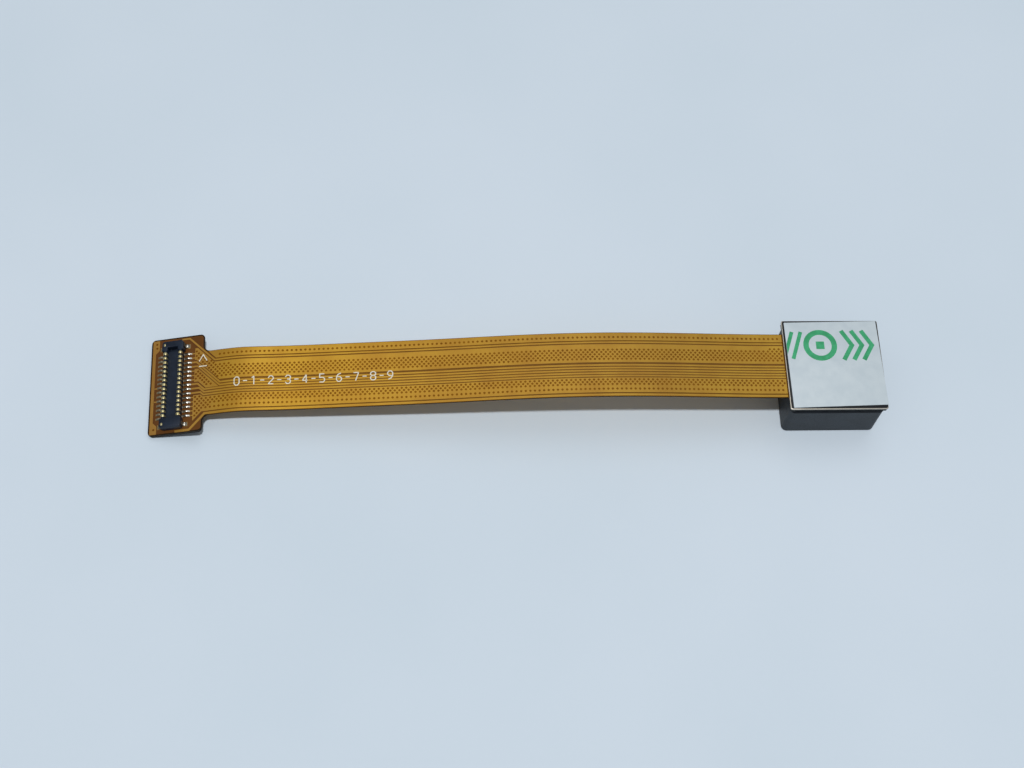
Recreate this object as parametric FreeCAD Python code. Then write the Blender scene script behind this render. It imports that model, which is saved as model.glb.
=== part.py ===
import FreeCAD, Part
import math
import os

# Phone camera module on a long flexible printed circuit, lying as it rests on a table.
# The square camera block stands on its lens face, with its adhesive back on top. The flexible
# circuit leaves the block at its back, arches over the table and ends in a stiffened tab that
# carries the board-to-board plug. The origin is on the optical axis, at the block's lens face.
# +Z points up, away from the view of the lens, and -X points from the block to the plug.

os.makedirs("parts", exist_ok=True)

Vector = FreeCAD.Vector

# Camera block: moulded lens holder, in millimetres
housing_length = 7.90
housing_width = 8.04
housing_wall = 0.50
housing_corner_radius = 0.45
housing_edge_radius = 0.15
cavity_corner_radius = 0.35
cavity_depth = 1.00
partition_thickness = 0.35
window_corner_radius = 0.30
countersink_width = 0.26
countersink_root = 0.02

# Lens barrel, screwed into the holder and set back from its face
barrel_surround = 0.97
barrel_clearance = 0.02
barrel_setback = 0.12
barrel_end_gap = 0.03
barrel_front_wall = 0.35
barrel_rear_rim = 0.17
barrel_edge_chamfer = 0.12
barrel_side_wall = 0.63
barrel_face_width = 1.23
stop_rim = 0.60

# Lens stack, from the front. A rise is positive where the surface bulges
lens_radius_step = 0.25
lens_clearance = 0.01
lens_1_thickness = 0.35
lens_1_front_rise = 0.17
lens_1_back_rise = -0.08
lens_2_thickness = 0.25
lens_2_back_rise = -0.10
lens_3_thickness = 0.40
lens_3_back_rise = 0.18
lens_4_thickness = 0.50
lens_4_front_rise = -0.20
lens_4_back_rise = 0.07
baffle_thickness = 0.04
baffle_1_rim = 0.70
baffle_2_rim = 0.65
spacer_thickness = 0.10
spacer_rim = 0.40
retainer_thickness = 0.30
retainer_rim = 0.55
optical_margin = 0.05

# Infrared filter, image sensor and what is mounted round it
window_ledge = 0.40
filter_thickness = 0.21
filter_side_gap = 0.10
filter_recess = 0.12
filter_bond_thickness = 0.02
filter_end_overlap = 0.20
filter_side_overlap = 0.35
wire_lane = 0.65
capacitor_lane = 1.07
sensor_thickness = 0.20
die_attach_thickness = 0.03
die_attach_inset = 0.05
wire_pitch = 0.40
wire_row_margin = 0.50
wire_size = 0.03
wire_inset = 0.14
wire_reach = 0.32
wire_loop = 0.16
wire_crown_start = 0.10
capacitor_length = 0.60
capacitor_width = 0.30
capacitor_height = 0.30
capacitor_terminal = 0.15
capacitor_pitch = 1.40
capacitor_gap = 0.35
capacitors_far_side = 4
capacitors_near_side = 2

# Layers on the back of the block
seal_thickness = 0.05
seal_inset = 0.05
film_thickness = 0.13
build_up_thickness = 0.20
bond_thickness = 0.03
plate_overhang_length = 0.15
plate_overhang_width = 0.04
plate_thickness = 0.15
plate_corner_radius = 0.15
pad_inset = 0.04
tape_inset = 0.06
tape_thickness = 0.10
liner_thickness = 0.08
liner_inset_near_plug_far = (0.17, 0.24)
liner_inset_far_corner = (0.12, 0.18)
liner_inset_near_corner = (0.01, 0.30)
liner_inset_near_plug_near = (0.23, 0.08)

# Ribbon of the flexible circuit: its width, and its height over a straight line from the
# block to the tab, at shares of the way from the block
ribbon_width = 5.80
ribbon_share = (0.1566, 0.3145, 0.4724, 0.6197, 0.7670, 0.9039, 0.9544)
ribbon_bow = (0.68, 1.30, 1.28, 0.90, 0.64, 0.49, 0.44)

# Tab under the plug. It leans on its outer lower edge, lifted at the ribbon's side
plug_distance = 54.64
tab_tilt = 16.1
tab_outer_reach = 2.12
tab_inner_reach = 2.53
tab_far_margin = 0.60
tab_near_margin = 0.32
tab_corner_radius = 0.35
neck_length = 0.67
neck_fillet_radius = 0.55
stiffener_thickness = 0.20
stiffener_setback = 0.08

# Board-to-board plug
contact_count = 15
contact_pitch = 0.40
contact_width = 0.22
contact_thickness = 0.07
contact_row_offset = 0.65
contact_arch_radius = 0.17
contact_foot_reach = 1.40
contact_bend = 0.06
contact_tip_gap = 0.05
arch_outer_steps = 4
arch_inner_steps = 2
plug_height = 0.70
plug_stand_off = 0.03
plug_floor_thickness = 0.25
plug_end_block = 0.84
plug_half_width = 0.92
plug_block_drop = 0.02
plug_corner_radius = 0.22
plug_edge_chamfer = 0.05
rib_side_gap = 0.01
rib_step = 0.02
block_start_gap = 0.15
hold_down_width = 0.34
hold_down_height = 0.48
hold_down_reach = 0.34
hold_down_end_distance = 0.37
solder_toe = 0.13
solder_heel = 0.16
solder_width = 0.20

# Glue dots that lock the barrel in the holder
glue_dot_count = 4
glue_dot_angle = 32.0
glue_dot_first_angle = 29.0
glue_rise = 0.03

# Heights worked out from the front face, at zero, to the back
barrel_front_z = barrel_setback
countersink_depth = barrel_setback + barrel_edge_chamfer + countersink_root
lens_1_z = barrel_front_z + barrel_front_wall
baffle_1_z = lens_1_z + lens_1_thickness
lens_2_z = baffle_1_z + baffle_thickness
baffle_2_z = lens_2_z + lens_2_thickness
lens_3_z = baffle_2_z + baffle_thickness
spacer_z = lens_3_z + lens_3_thickness
lens_4_z = spacer_z + spacer_thickness
retainer_z = lens_4_z + lens_4_thickness
retainer_top_z = retainer_z + retainer_thickness
barrel_rear_z = retainer_top_z + barrel_rear_rim
bore_end_z = barrel_rear_z + barrel_end_gap
cavity_floor_z = bore_end_z + partition_thickness
housing_height = cavity_floor_z + cavity_depth
pad_front_z = housing_height + seal_thickness
pad_back_z = pad_front_z + build_up_thickness + film_thickness
plate_front_z = pad_back_z + bond_thickness
plate_back_z = plate_front_z + plate_thickness
tape_back_z = plate_back_z + tape_thickness
liner_back_z = tape_back_z + liner_thickness

# Outlines worked out from the holder's
barrel_radius = min(housing_length, housing_width) / 2 - barrel_surround
bore_radius = barrel_radius + barrel_clearance
cavity_length = housing_length - 2 * housing_wall
cavity_width = housing_width - 2 * housing_wall
sensor_length = cavity_length - 2 * wire_lane
sensor_width = cavity_width - 2 * capacitor_lane
filter_length = sensor_length - 2 * filter_end_overlap
filter_width = sensor_width - 2 * filter_side_overlap
window_length = filter_length - 2 * window_ledge
window_width = filter_width - 2 * window_ledge
plate_length = housing_length + 2 * plate_overhang_length
plate_width = housing_width + 2 * plate_overhang_width
pad_length = plate_length - 2 * pad_inset
pad_width = plate_width - 2 * pad_inset
lens_4_radius = barrel_radius - barrel_side_wall
lens_3_radius = lens_4_radius - lens_radius_step
lens_2_radius = lens_3_radius - lens_radius_step
lens_1_radius = lens_2_radius - lens_radius_step
stop_radius = lens_1_radius - stop_rim
entrance_radius = barrel_radius - barrel_face_width
baffle_1_opening = lens_1_radius - baffle_1_rim
baffle_2_opening = lens_2_radius - baffle_2_rim
spacer_opening = lens_3_radius - spacer_rim
retainer_opening = lens_4_radius - retainer_rim
die_back_z = pad_front_z - die_attach_thickness
die_front_z = die_back_z - sensor_thickness
wire_count = int((sensor_width - 2 * wire_row_margin) / wire_pitch) + 1

# Tab's place: the outer lower edge of its stiffener rests on the table
tilt = math.radians(tab_tilt)
tab_stack = film_thickness + bond_thickness + stiffener_thickness
tab_centre_z = tab_outer_reach * math.sin(tilt) + tab_stack * math.cos(tilt)
tab_placement = FreeCAD.Placement(
    Vector(-plug_distance, 0, tab_centre_z),
    FreeCAD.Rotation(Vector(0, 1, 0), -tab_tilt),
)

# Plug sizes worked out from its contacts
arch_inner_radius = contact_arch_radius - contact_thickness
arch_centre_z = plug_height - contact_arch_radius
leg_outer_x = contact_row_offset + contact_arch_radius
leg_inner_x = leg_outer_x - contact_thickness
row_half_length = (contact_count - 1) * contact_pitch / 2
block_start = row_half_length + contact_width / 2 + block_start_gap
plug_half_length = block_start + plug_end_block
contact_free_end = plug_stand_off + plug_floor_thickness + contact_tip_gap
tab_far_y = plug_half_length + tab_far_margin
tab_near_y = -plug_half_length - tab_near_margin
neck_reach = tab_inner_reach + neck_length
hold_down_y = plug_half_length - hold_down_end_distance
hold_down_end_x = plug_half_width + hold_down_reach


def save(node, shape):
    """Write one node."""
    shape.exportStep("parts/" + node + ".step")


def save_group(node, solids):
    """Write several like solids as one node."""
    save(node, Part.makeCompound(solids))


def upright_edges(shape, places=None):
    """Edges along Z, all of them or those at the given (x, y) places."""
    found = []
    for edge in shape.Edges:
        ends = [vertex.Point for vertex in edge.Vertexes]
        if len(ends) != 2:
            continue
        offset = ends[1] - ends[0]
        if math.hypot(offset.x, offset.y) > 1e-6:
            continue
        if places is None:
            found.append(edge)
            continue
        for x, y in places:
            if math.hypot(ends[0].x - x, ends[0].y - y) < 1e-6:
                found.append(edge)
    return found


def edges_at_height(shape, z):
    """Edges that lie wholly at one height."""
    return [edge for edge in shape.Edges if all(abs(v.Z - z) < 1e-6 for v in edge.Vertexes)]


def block(length, width, low_z, high_z, centre_x=0, centre_y=0):
    """Plain box on a centre in plan."""
    corner = Vector(centre_x - length / 2, centre_y - width / 2, low_z)
    return Part.makeBox(length, width, high_z - low_z, corner)


def rounded_block(length, width, low_z, high_z, radius, centre_x=0, centre_y=0):
    """Box with rounded upright corners."""
    shape = block(length, width, low_z, high_z, centre_x, centre_y)
    return shape.makeFillet(radius, upright_edges(shape))


def disc(radius, low_z, high_z):
    """Cylinder on the optical axis."""
    return Part.makeCylinder(radius, high_z - low_z, Vector(0, 0, low_z))


def washer(outer_radius, inner_radius, low_z, high_z):
    """Flat ring on the optical axis."""
    return disc(outer_radius, low_z, high_z).cut(disc(inner_radius, low_z, high_z))


def prism(outline, low_z, high_z):
    """Straight-sided plate from an outline in plan."""
    points = [Vector(x, y, low_z) for x, y in outline]
    face = Part.Face(Part.makePolygon(points + points[:1]))
    return face.extrude(Vector(0, 0, high_z - low_z))


def bar(profile, low_y, high_y):
    """Straight bar along Y from (x, z) corners."""
    points = [Vector(x, low_y, z) for x, z in profile]
    face = Part.Face(Part.makePolygon(points + points[:1]))
    return face.extrude(Vector(0, high_y - low_y, 0))


def arch_points(centre_x, centre_z, radius, steps):
    """Corners of a half-round top, from its +X foot over to its -X foot."""
    angles = [math.pi * i / steps for i in range(steps + 1)]
    return [(centre_x + radius * math.cos(a), centre_z + radius * math.sin(a)) for a in angles]


def turned(profile, angle=360):
    """Solid turned about the optical axis from (radius, z) corners."""
    points = [Vector(radius, 0, z) for radius, z in profile]
    face = Part.Face(Part.makePolygon(points + points[:1]))
    return face.revolve(Vector(0, 0, 0), Vector(0, 0, 1), angle)


def place_on_tab(shape):
    """Move a shape from the tab's own frame, on the film's upper face under the plug."""
    shape.Placement = tab_placement.multiply(shape.Placement)
    return shape


def mirror_row(shape):
    """The same shape on the other side of the plug's long axis."""
    return shape.rotated(Vector(0, 0, 0), Vector(0, 0, 1), 180)


# Lens holder

def make_housing():
    """Moulded black holder: sensor cavity behind, filter seat and window, barrel bore in front."""
    shape = rounded_block(housing_length, housing_width, 0, housing_height, housing_corner_radius)
    shape = shape.makeFillet(housing_edge_radius, edges_at_height(shape, 0))
    cavity = rounded_block(cavity_length, cavity_width, cavity_floor_z, housing_height,
                           cavity_corner_radius)
    seat = block(filter_length + 2 * filter_side_gap, filter_width + 2 * filter_side_gap,
                 cavity_floor_z - filter_recess, cavity_floor_z)
    window = rounded_block(window_length, window_width, bore_end_z, cavity_floor_z - filter_recess,
                           window_corner_radius)
    bore = disc(bore_radius, 0, bore_end_z)
    countersink = Part.makeCone(bore_radius + countersink_width, bore_radius, countersink_depth)
    return shape.cut(cavity).cut(seat).cut(window).cut(bore).cut(countersink)


def make_housing_seal():
    """Black epoxy line between the holder and the circuit."""
    outer = rounded_block(housing_length - 2 * seal_inset, housing_width - 2 * seal_inset,
                          housing_height, pad_front_z, housing_corner_radius)
    inner = rounded_block(cavity_length + 2 * seal_inset, cavity_width + 2 * seal_inset,
                          housing_height, pad_front_z, cavity_corner_radius)
    return outer.cut(inner)


# Lens barrel and what it holds

def make_barrel():
    """Moulded barrel with a conical mouth and a stepped bore for the stack."""
    profile = (
        (entrance_radius, barrel_front_z),
        (barrel_radius - barrel_edge_chamfer, barrel_front_z),
        (barrel_radius, barrel_front_z + barrel_edge_chamfer),
        (barrel_radius, barrel_rear_z),
        (lens_4_radius, barrel_rear_z),
        (lens_4_radius, spacer_z),
        (lens_3_radius, spacer_z),
        (lens_3_radius, baffle_2_z),
        (lens_2_radius, baffle_2_z),
        (lens_2_radius, baffle_1_z),
        (lens_1_radius, baffle_1_z),
        (lens_1_radius, lens_1_z),
        (stop_radius, lens_1_z),
    )
    return turned(profile)


def cap_edge(radius, rim_z, rise, outward):
    """Arc from the axis to a lens surface's rim. A negative rise is a hollow."""
    direction = 1 if outward == "back" else -1
    depth = abs(rise)
    sphere_radius = (radius * radius + depth * depth) / (2 * depth)
    half_drop = sphere_radius - math.sqrt(sphere_radius ** 2 - (radius / 2) ** 2)
    side = direction * math.copysign(1, rise)
    apex = Vector(0, 0, rim_z + side * depth)
    middle = Vector(radius / 2, 0, rim_z + side * (depth - half_drop))
    rim = Vector(radius, 0, rim_z)
    return Part.Arc(apex, middle, rim).toShape()


def capped_front(edge_radius, z, cap_radius, rise):
    """Front of a lens with a curved middle, from the axis to the rim."""
    rim = Part.makeLine(Vector(cap_radius, 0, z), Vector(edge_radius - lens_clearance, 0, z))
    return [cap_edge(cap_radius, z, rise, "front"), rim]


def flat_front(edge_radius, z):
    """Flat front of a lens, from the axis to the rim."""
    return [Part.makeLine(Vector(0, 0, z), Vector(edge_radius - lens_clearance, 0, z))]


def make_lens(front, back, back_rim):
    """Lens turned from its section: front, side, rear flange, and back from its rim inwards."""
    front_z = front[-1].Vertexes[-1].Point.z
    radius = front[-1].Vertexes[-1].Point.x
    back_z = back[-1].Vertexes[-1].Point.z
    side = Part.makeLine(Vector(radius, 0, front_z), Vector(radius, 0, back_z))
    flange = Part.makeLine(Vector(radius, 0, back_z), Vector(back_rim, 0, back_z))
    axis = Part.makeLine(back[0].Vertexes[0].Point, front[0].Vertexes[0].Point)
    wire = Part.Wire(front + [side, flange] + back[::-1] + [axis])
    return Part.Face(wire).revolve(Vector(0, 0, 0), Vector(0, 0, 1), 360)


def make_lens_1():
    """Front lens: bulges into the barrel's mouth, slightly hollow behind."""
    back_radius = baffle_1_opening - optical_margin
    front = capped_front(lens_1_radius, lens_1_z, stop_radius - optical_margin, lens_1_front_rise)
    back = [cap_edge(back_radius, baffle_1_z, lens_1_back_rise, "back")]
    return make_lens(front, back, back_radius)


def make_lens_2():
    """Thin second lens, flat in front and hollow behind."""
    back_radius = baffle_2_opening - optical_margin
    back = [cap_edge(back_radius, baffle_2_z, lens_2_back_rise, "back")]
    return make_lens(flat_front(lens_2_radius, lens_2_z), back, back_radius)


def make_lens_3():
    """Third lens, flat in front and full behind."""
    back_radius = spacer_opening - 2 * optical_margin
    back = [cap_edge(back_radius, spacer_z, lens_3_back_rise, "back")]
    return make_lens(flat_front(lens_3_radius, lens_3_z), back, back_radius)


def make_lens_4():
    """Rear lens: hollow in front and slightly full behind, as field flatteners are."""
    front_radius = spacer_opening - 2 * optical_margin
    front = capped_front(lens_4_radius, lens_4_z, front_radius, lens_4_front_rise)
    back_radius = retainer_opening - 2 * optical_margin
    back = [cap_edge(back_radius, retainer_z, lens_4_back_rise, "back")]
    return make_lens(front, back, back_radius)


def make_baffle_1():
    """Black film ring behind the front lens."""
    return washer(lens_2_radius - lens_clearance, baffle_1_opening, baffle_1_z, lens_2_z)


def make_baffle_2():
    """Black film ring behind the second lens."""
    return washer(lens_3_radius - lens_clearance, baffle_2_opening, baffle_2_z, lens_3_z)


def make_lens_spacer():
    """Ring that sets the air gap before the rear lens."""
    return washer(lens_4_radius - lens_clearance, spacer_opening, spacer_z, lens_4_z)


def make_lens_retainer():
    """Ring pressed in behind the rear lens."""
    return washer(lens_4_radius - lens_clearance, retainer_opening, retainer_z, retainer_top_z)


def make_thread_lock():
    """Glue dots in the groove between the barrel and the holder's countersink."""
    low_z = barrel_front_z + barrel_edge_chamfer - glue_rise
    slope = countersink_width / countersink_depth
    profile = (
        (barrel_radius, low_z + glue_rise),
        (barrel_radius - glue_rise, low_z),
        (bore_radius + (countersink_depth - low_z) * slope, low_z),
        (bore_radius, countersink_depth),
        (barrel_radius, countersink_depth),
    )
    dot = turned(profile, glue_dot_angle)
    turn = 360 / glue_dot_count
    start = glue_dot_first_angle
    return [dot.rotated(Vector(0, 0, 0), Vector(0, 0, 1), start + i * turn)
            for i in range(glue_dot_count)]


# Filter, sensor and the parts on the circuit's front

def make_filter_bond():
    """Glue line that holds the filter round the window."""
    low_z = cavity_floor_z - filter_recess
    outer = block(filter_length, filter_width, low_z, low_z + filter_bond_thickness)
    inner = rounded_block(window_length, window_width, low_z, low_z + filter_bond_thickness,
                          window_corner_radius)
    return outer.cut(inner)


def make_ir_filter():
    """Coated glass plate behind the window."""
    low_z = cavity_floor_z - filter_recess + filter_bond_thickness
    return block(filter_length, filter_width, low_z, low_z + filter_thickness)


def make_image_sensor():
    """Bare silicon die."""
    return block(sensor_length, sensor_width, die_front_z, die_back_z)


def make_die_attach():
    """Adhesive under the die."""
    return block(sensor_length - 2 * die_attach_inset, sensor_width - 2 * die_attach_inset,
                 die_back_z, pad_front_z)


def make_bond_wire():
    """Gold loop from the die's front: steeply up, over the die's edge and down to the circuit."""
    start_x = sensor_length / 2 - wire_inset
    end_x = sensor_length / 2 + wire_reach
    crown_x = start_x + wire_crown_start
    top_z = die_front_z - wire_loop
    profile = (
        (start_x, die_front_z),
        (crown_x, top_z),
        (end_x, pad_front_z),
        (end_x - wire_size, pad_front_z),
        (crown_x + wire_size / 2, top_z + 2 * wire_size),
        (start_x + wire_size, die_front_z),
    )
    return bar(profile, 0, wire_size)


def make_bond_wires():
    """Two rows of bond wires, at both ends of the die."""
    wire = make_bond_wire()
    solids = []
    for i in range(wire_count):
        y = (i - (wire_count - 1) / 2) * wire_pitch - wire_size / 2
        moved = wire.translated(Vector(0, y, 0))
        solids.append(moved)
        solids.append(mirror_row(moved))
    return solids


def capacitor_places():
    """Plan centres of the chip capacitors, in a row along each long side of the die."""
    y = sensor_width / 2 + capacitor_gap + capacitor_width / 2
    places = []
    for count, side in ((capacitors_far_side, 1), (capacitors_near_side, -1)):
        for i in range(count):
            places.append(((i - (count - 1) / 2) * capacitor_pitch, side * y))
    return places


def make_capacitors():
    """Ceramic bodies and plated ends of the chip capacitors."""
    low_z = pad_front_z - capacitor_height
    body_length = capacitor_length - 2 * capacitor_terminal
    terminal_x = (capacitor_length - capacitor_terminal) / 2
    bodies = []
    terminals = []
    for x, y in capacitor_places():
        bodies.append(block(body_length, capacitor_width, low_z, pad_front_z, x, y))
        for side in (-1, 1):
            terminals.append(block(capacitor_terminal, capacitor_width, low_z, pad_front_z,
                                   x + side * terminal_x, y))
    return bodies, terminals


# Layers on the back

def make_stiffener_bond():
    """Conductive adhesive between the circuit and the steel plate."""
    return rounded_block(pad_length, pad_width, pad_back_z, plate_front_z, plate_corner_radius)


def make_head_stiffener():
    """Stainless steel plate on the back of the block."""
    return rounded_block(plate_length, plate_width, plate_front_z, plate_back_z,
                         plate_corner_radius)


def make_back_adhesive():
    """Black double-sided tape."""
    return rounded_block(plate_length - 2 * tape_inset, plate_width - 2 * tape_inset,
                         plate_back_z, tape_back_z, plate_corner_radius)


def make_release_liner():
    """Paper liner, cut by hand, so that its sides aren't quite parallel to the plate's."""
    half_x = plate_length / 2
    half_y = plate_width / 2
    outline = (
        (-half_x + liner_inset_near_plug_far[0], half_y - liner_inset_near_plug_far[1]),
        (-half_x + liner_inset_near_plug_near[0], -half_y + liner_inset_near_plug_near[1]),
        (half_x - liner_inset_near_corner[0], -half_y + liner_inset_near_corner[1]),
        (half_x - liner_inset_far_corner[0], half_y - liner_inset_far_corner[1]),
    )
    return prism(outline, tape_back_z, liner_back_z)


# Flexible circuit: pad under the plate, ribbon and tab in one laminate

def tab_point(x, height):
    """Point over the tab's centre line, in the part's frame."""
    return tab_placement.multVec(Vector(x, 0, height))


def ribbon_route():
    """Points of the ribbon's upper face, from the block's edge to the tab's neck."""
    start = Vector(-pad_length / 2, 0, pad_back_z)
    end = tab_point(neck_reach, 0)
    run = start.x - end.x
    points = [start]
    for share, bow in zip(ribbon_share, ribbon_bow):
        line_z = start.z + (end.z - start.z) * share
        points.append(Vector(start.x - run * share, 0, line_z + bow))
    points.append(end)
    return points


def ribbon_curve(points):
    """Smooth curve that leaves the block level and meets the tab along its tilt."""
    curve = Part.BSplineCurve()
    tab_direction = Vector(-math.cos(tilt), 0, -math.sin(tilt))
    curve.interpolate(Points=points, InitialTangent=Vector(-1, 0, 0), FinalTangent=tab_direction)
    return curve


def make_ribbon():
    """Film between two curves, the lower one offset by the film's thickness."""
    points = ribbon_route()
    upper = ribbon_curve(points)
    lower_points = []
    for point in points:
        direction = upper.tangent(upper.parameter(point))[0]
        normal = Vector(-direction.z, 0, direction.x)
        lower_points.append(point + normal * film_thickness)
    lower = ribbon_curve(lower_points)
    at_block = Part.makeLine(points[0], lower_points[0])
    at_tab = Part.makeLine(points[-1], lower_points[-1])
    face = Part.Face(Part.Wire([upper.toShape(), at_tab, lower.toShape(), at_block]))
    face.translate(Vector(0, -ribbon_width / 2, 0))
    return face.extrude(Vector(0, ribbon_width, 0))


def make_tab_film():
    """Tab of the circuit, with rounded corners and concave fillets into the ribbon."""
    half = ribbon_width / 2
    outline = (
        (-tab_outer_reach, tab_near_y),
        (tab_inner_reach, tab_near_y),
        (tab_inner_reach, -half),
        (neck_reach, -half),
        (neck_reach, half),
        (tab_inner_reach, half),
        (tab_inner_reach, tab_far_y),
        (-tab_outer_reach, tab_far_y),
    )
    shape = prism(outline, -film_thickness, 0)
    necks = [outline[2], outline[5]]
    shape = shape.makeFillet(neck_fillet_radius, upright_edges(shape, necks))
    corners = [outline[0], outline[1], outline[6], outline[7]]
    shape = shape.makeFillet(tab_corner_radius, upright_edges(shape, corners))
    return place_on_tab(shape)


def make_flex_circuit():
    """One laminate: pad in the block, arched ribbon and plug tab."""
    pad = rounded_block(pad_length, pad_width, pad_front_z, pad_back_z, plate_corner_radius)
    return pad.fuse(make_ribbon()).fuse(make_tab_film()).removeSplitter()


# Stiffener under the tab

def tab_backing(low_z, high_z):
    """Plate in the tab's outline without its neck."""
    length = tab_outer_reach + tab_inner_reach - stiffener_setback
    centre_x = (tab_inner_reach - stiffener_setback - tab_outer_reach) / 2
    centre_y = (tab_far_y + tab_near_y) / 2
    shape = rounded_block(length, tab_far_y - tab_near_y, low_z, high_z, tab_corner_radius,
                          centre_x, centre_y)
    return place_on_tab(shape)


def make_tab_bond():
    """Adhesive film between the tab and its stiffener."""
    return tab_backing(-film_thickness - bond_thickness, -film_thickness)


def make_tab_stiffener():
    """Dark stiffener plate under the plug."""
    return tab_backing(-tab_stack, -film_thickness - bond_thickness)


# Board-to-board plug

def make_contact():
    """Formed strip: foot on the circuit, outer leg, arch over the wall and short inner leg."""
    foot_low = plug_stand_off
    foot_high = foot_low + contact_thickness
    outer_bend = contact_bend + contact_thickness
    inner_x = contact_row_offset - contact_arch_radius
    outer_arch = arch_points(contact_row_offset, arch_centre_z, contact_arch_radius,
                             arch_outer_steps)
    inner_arch = arch_points(contact_row_offset, arch_centre_z, arch_inner_radius,
                             arch_inner_steps)
    profile = [
        (contact_foot_reach, foot_low),
        (contact_foot_reach, foot_high),
        (leg_outer_x + contact_bend, foot_high),
        (leg_outer_x, foot_high + contact_bend),
    ]
    profile += outer_arch
    profile += [
        (inner_x, contact_free_end),
        (inner_x + contact_thickness, contact_free_end),
    ]
    profile += reversed(inner_arch)
    profile += [
        (leg_inner_x, foot_low + outer_bend),
        (leg_inner_x + outer_bend, foot_low),
    ]
    return bar(profile, -contact_width / 2, contact_width / 2)


def contact_places():
    """Distances of the contacts along the plug."""
    return [i * contact_pitch - row_half_length for i in range(contact_count)]


def both_rows(shape):
    """Copies of a shape at every contact of both rows."""
    solids = []
    for y in contact_places():
        moved = shape.translated(Vector(0, y, 0))
        solids.append(place_on_tab(moved.copy()))
        solids.append(place_on_tab(mirror_row(moved)))
    return solids


def wall_length(half_thickness, low_y, high_y):
    """Stretch of side wall with a half-round top, centred under the contact row."""
    profile = [(contact_row_offset - half_thickness, plug_stand_off),
               (contact_row_offset + half_thickness, plug_stand_off)]
    profile += arch_points(contact_row_offset, arch_centre_z, half_thickness, arch_inner_steps)
    return bar(profile, low_y, high_y)


def make_connector_housing():
    """Moulded plug body: floor, two ribbed side walls that carry the contacts, end blocks."""
    shape = block(2 * leg_inner_x, 2 * block_start, plug_stand_off,
                  plug_stand_off + plug_floor_thickness)
    rib_half = contact_arch_radius - rib_step
    rib_gap = contact_width / 2 + rib_side_gap
    rib_starts = [-block_start] + [y + rib_gap for y in contact_places()]
    rib_ends = [y - rib_gap for y in contact_places()] + [block_start]
    wall = wall_length(arch_inner_radius, -block_start, block_start)
    ribs = [wall_length(rib_half, low, high) for low, high in zip(rib_starts, rib_ends)]
    side = wall.multiFuse(ribs)
    shape = shape.multiFuse([side, mirror_row(side)])
    for sign in (-1, 1):
        end = block(2 * plug_half_width, plug_end_block, plug_stand_off, plug_height - plug_block_drop,
                    0, sign * (block_start + plug_end_block / 2))
        corners = [(x * plug_half_width, sign * plug_half_length) for x in (-1, 1)]
        end = end.makeFillet(plug_corner_radius, upright_edges(end, corners))
        end = end.makeChamfer(plug_edge_chamfer, edges_at_height(end, plug_height - plug_block_drop))
        shape = shape.fuse(end)
    return place_on_tab(shape.removeSplitter())


def make_hold_down():
    """Formed nail on the side of an end block, with its foot on the circuit."""
    low = plug_stand_off
    high = low + contact_thickness
    inner = plug_half_width
    outer = inner + contact_thickness
    profile = (
        (inner, low),
        (hold_down_end_x, low),
        (hold_down_end_x, high),
        (outer + contact_bend, high),
        (outer, high + contact_bend),
        (outer, hold_down_height),
        (inner, hold_down_height),
    )
    return bar(profile, -hold_down_width / 2, hold_down_width / 2)


def at_four_corners(shape):
    """Copies of a shape at the four hold-downs."""
    solids = []
    for y in (-hold_down_y, hold_down_y):
        moved = shape.translated(Vector(0, y, 0))
        solids.append(place_on_tab(moved.copy()))
        solids.append(place_on_tab(mirror_row(moved)))
    return solids


def solder_wedge(heel_x, end_x, width):
    """Solder under a foot, with its toe rising against the foot's end."""
    foot_high = plug_stand_off + contact_thickness
    profile = (
        (heel_x, 0),
        (end_x + solder_toe, 0),
        (end_x, foot_high),
        (end_x, plug_stand_off),
        (heel_x, plug_stand_off),
    )
    return bar(profile, -width / 2, width / 2)


def make_solder_joints():
    """Solder of every contact and hold-down."""
    heel = leg_outer_x + solder_heel
    joints = both_rows(solder_wedge(heel, contact_foot_reach, solder_width))
    nail_heel = plug_half_width + contact_thickness
    joints += at_four_corners(solder_wedge(nail_heel, hold_down_end_x, hold_down_width))
    return joints


save("housing", make_housing())
save("housing_seal", make_housing_seal())
save("lens_barrel", make_barrel())
save("lens_1", make_lens_1())
save("lens_2", make_lens_2())
save("lens_3", make_lens_3())
save("lens_4", make_lens_4())
save("baffle_1", make_baffle_1())
save("baffle_2", make_baffle_2())
save("lens_spacer", make_lens_spacer())
save("lens_retainer", make_lens_retainer())
save_group("thread_lock", make_thread_lock())
save("filter_bond", make_filter_bond())
save("ir_filter", make_ir_filter())
save("image_sensor", make_image_sensor())
save("die_attach", make_die_attach())
save_group("bond_wires", make_bond_wires())
capacitor_bodies, capacitor_terminals = make_capacitors()
save_group("capacitor_bodies", capacitor_bodies)
save_group("capacitor_terminals", capacitor_terminals)
save("stiffener_bond", make_stiffener_bond())
save("head_stiffener", make_head_stiffener())
save("back_adhesive", make_back_adhesive())
save("release_liner", make_release_liner())
save("flex_circuit", make_flex_circuit())
save("tab_bond", make_tab_bond())
save("tab_stiffener", make_tab_stiffener())
save("connector_housing", make_connector_housing())
save_group("connector_contacts", both_rows(make_contact()))
save_group("connector_hold_downs", at_four_corners(make_hold_down()))
save_group("solder_joints", make_solder_joints())
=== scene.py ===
"""Looks of a phone camera module that lies on its lens face beside its flexible circuit.

Lengths in this script are millimetres until make_piece() turns them into metres. The plug, the
tab and the ribbon are drawn flat, as their artwork is, and bent() carries them to their place.
"""
import math

import bmesh
import bpy
import numpy as np
from mathutils import Matrix, Vector


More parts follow.
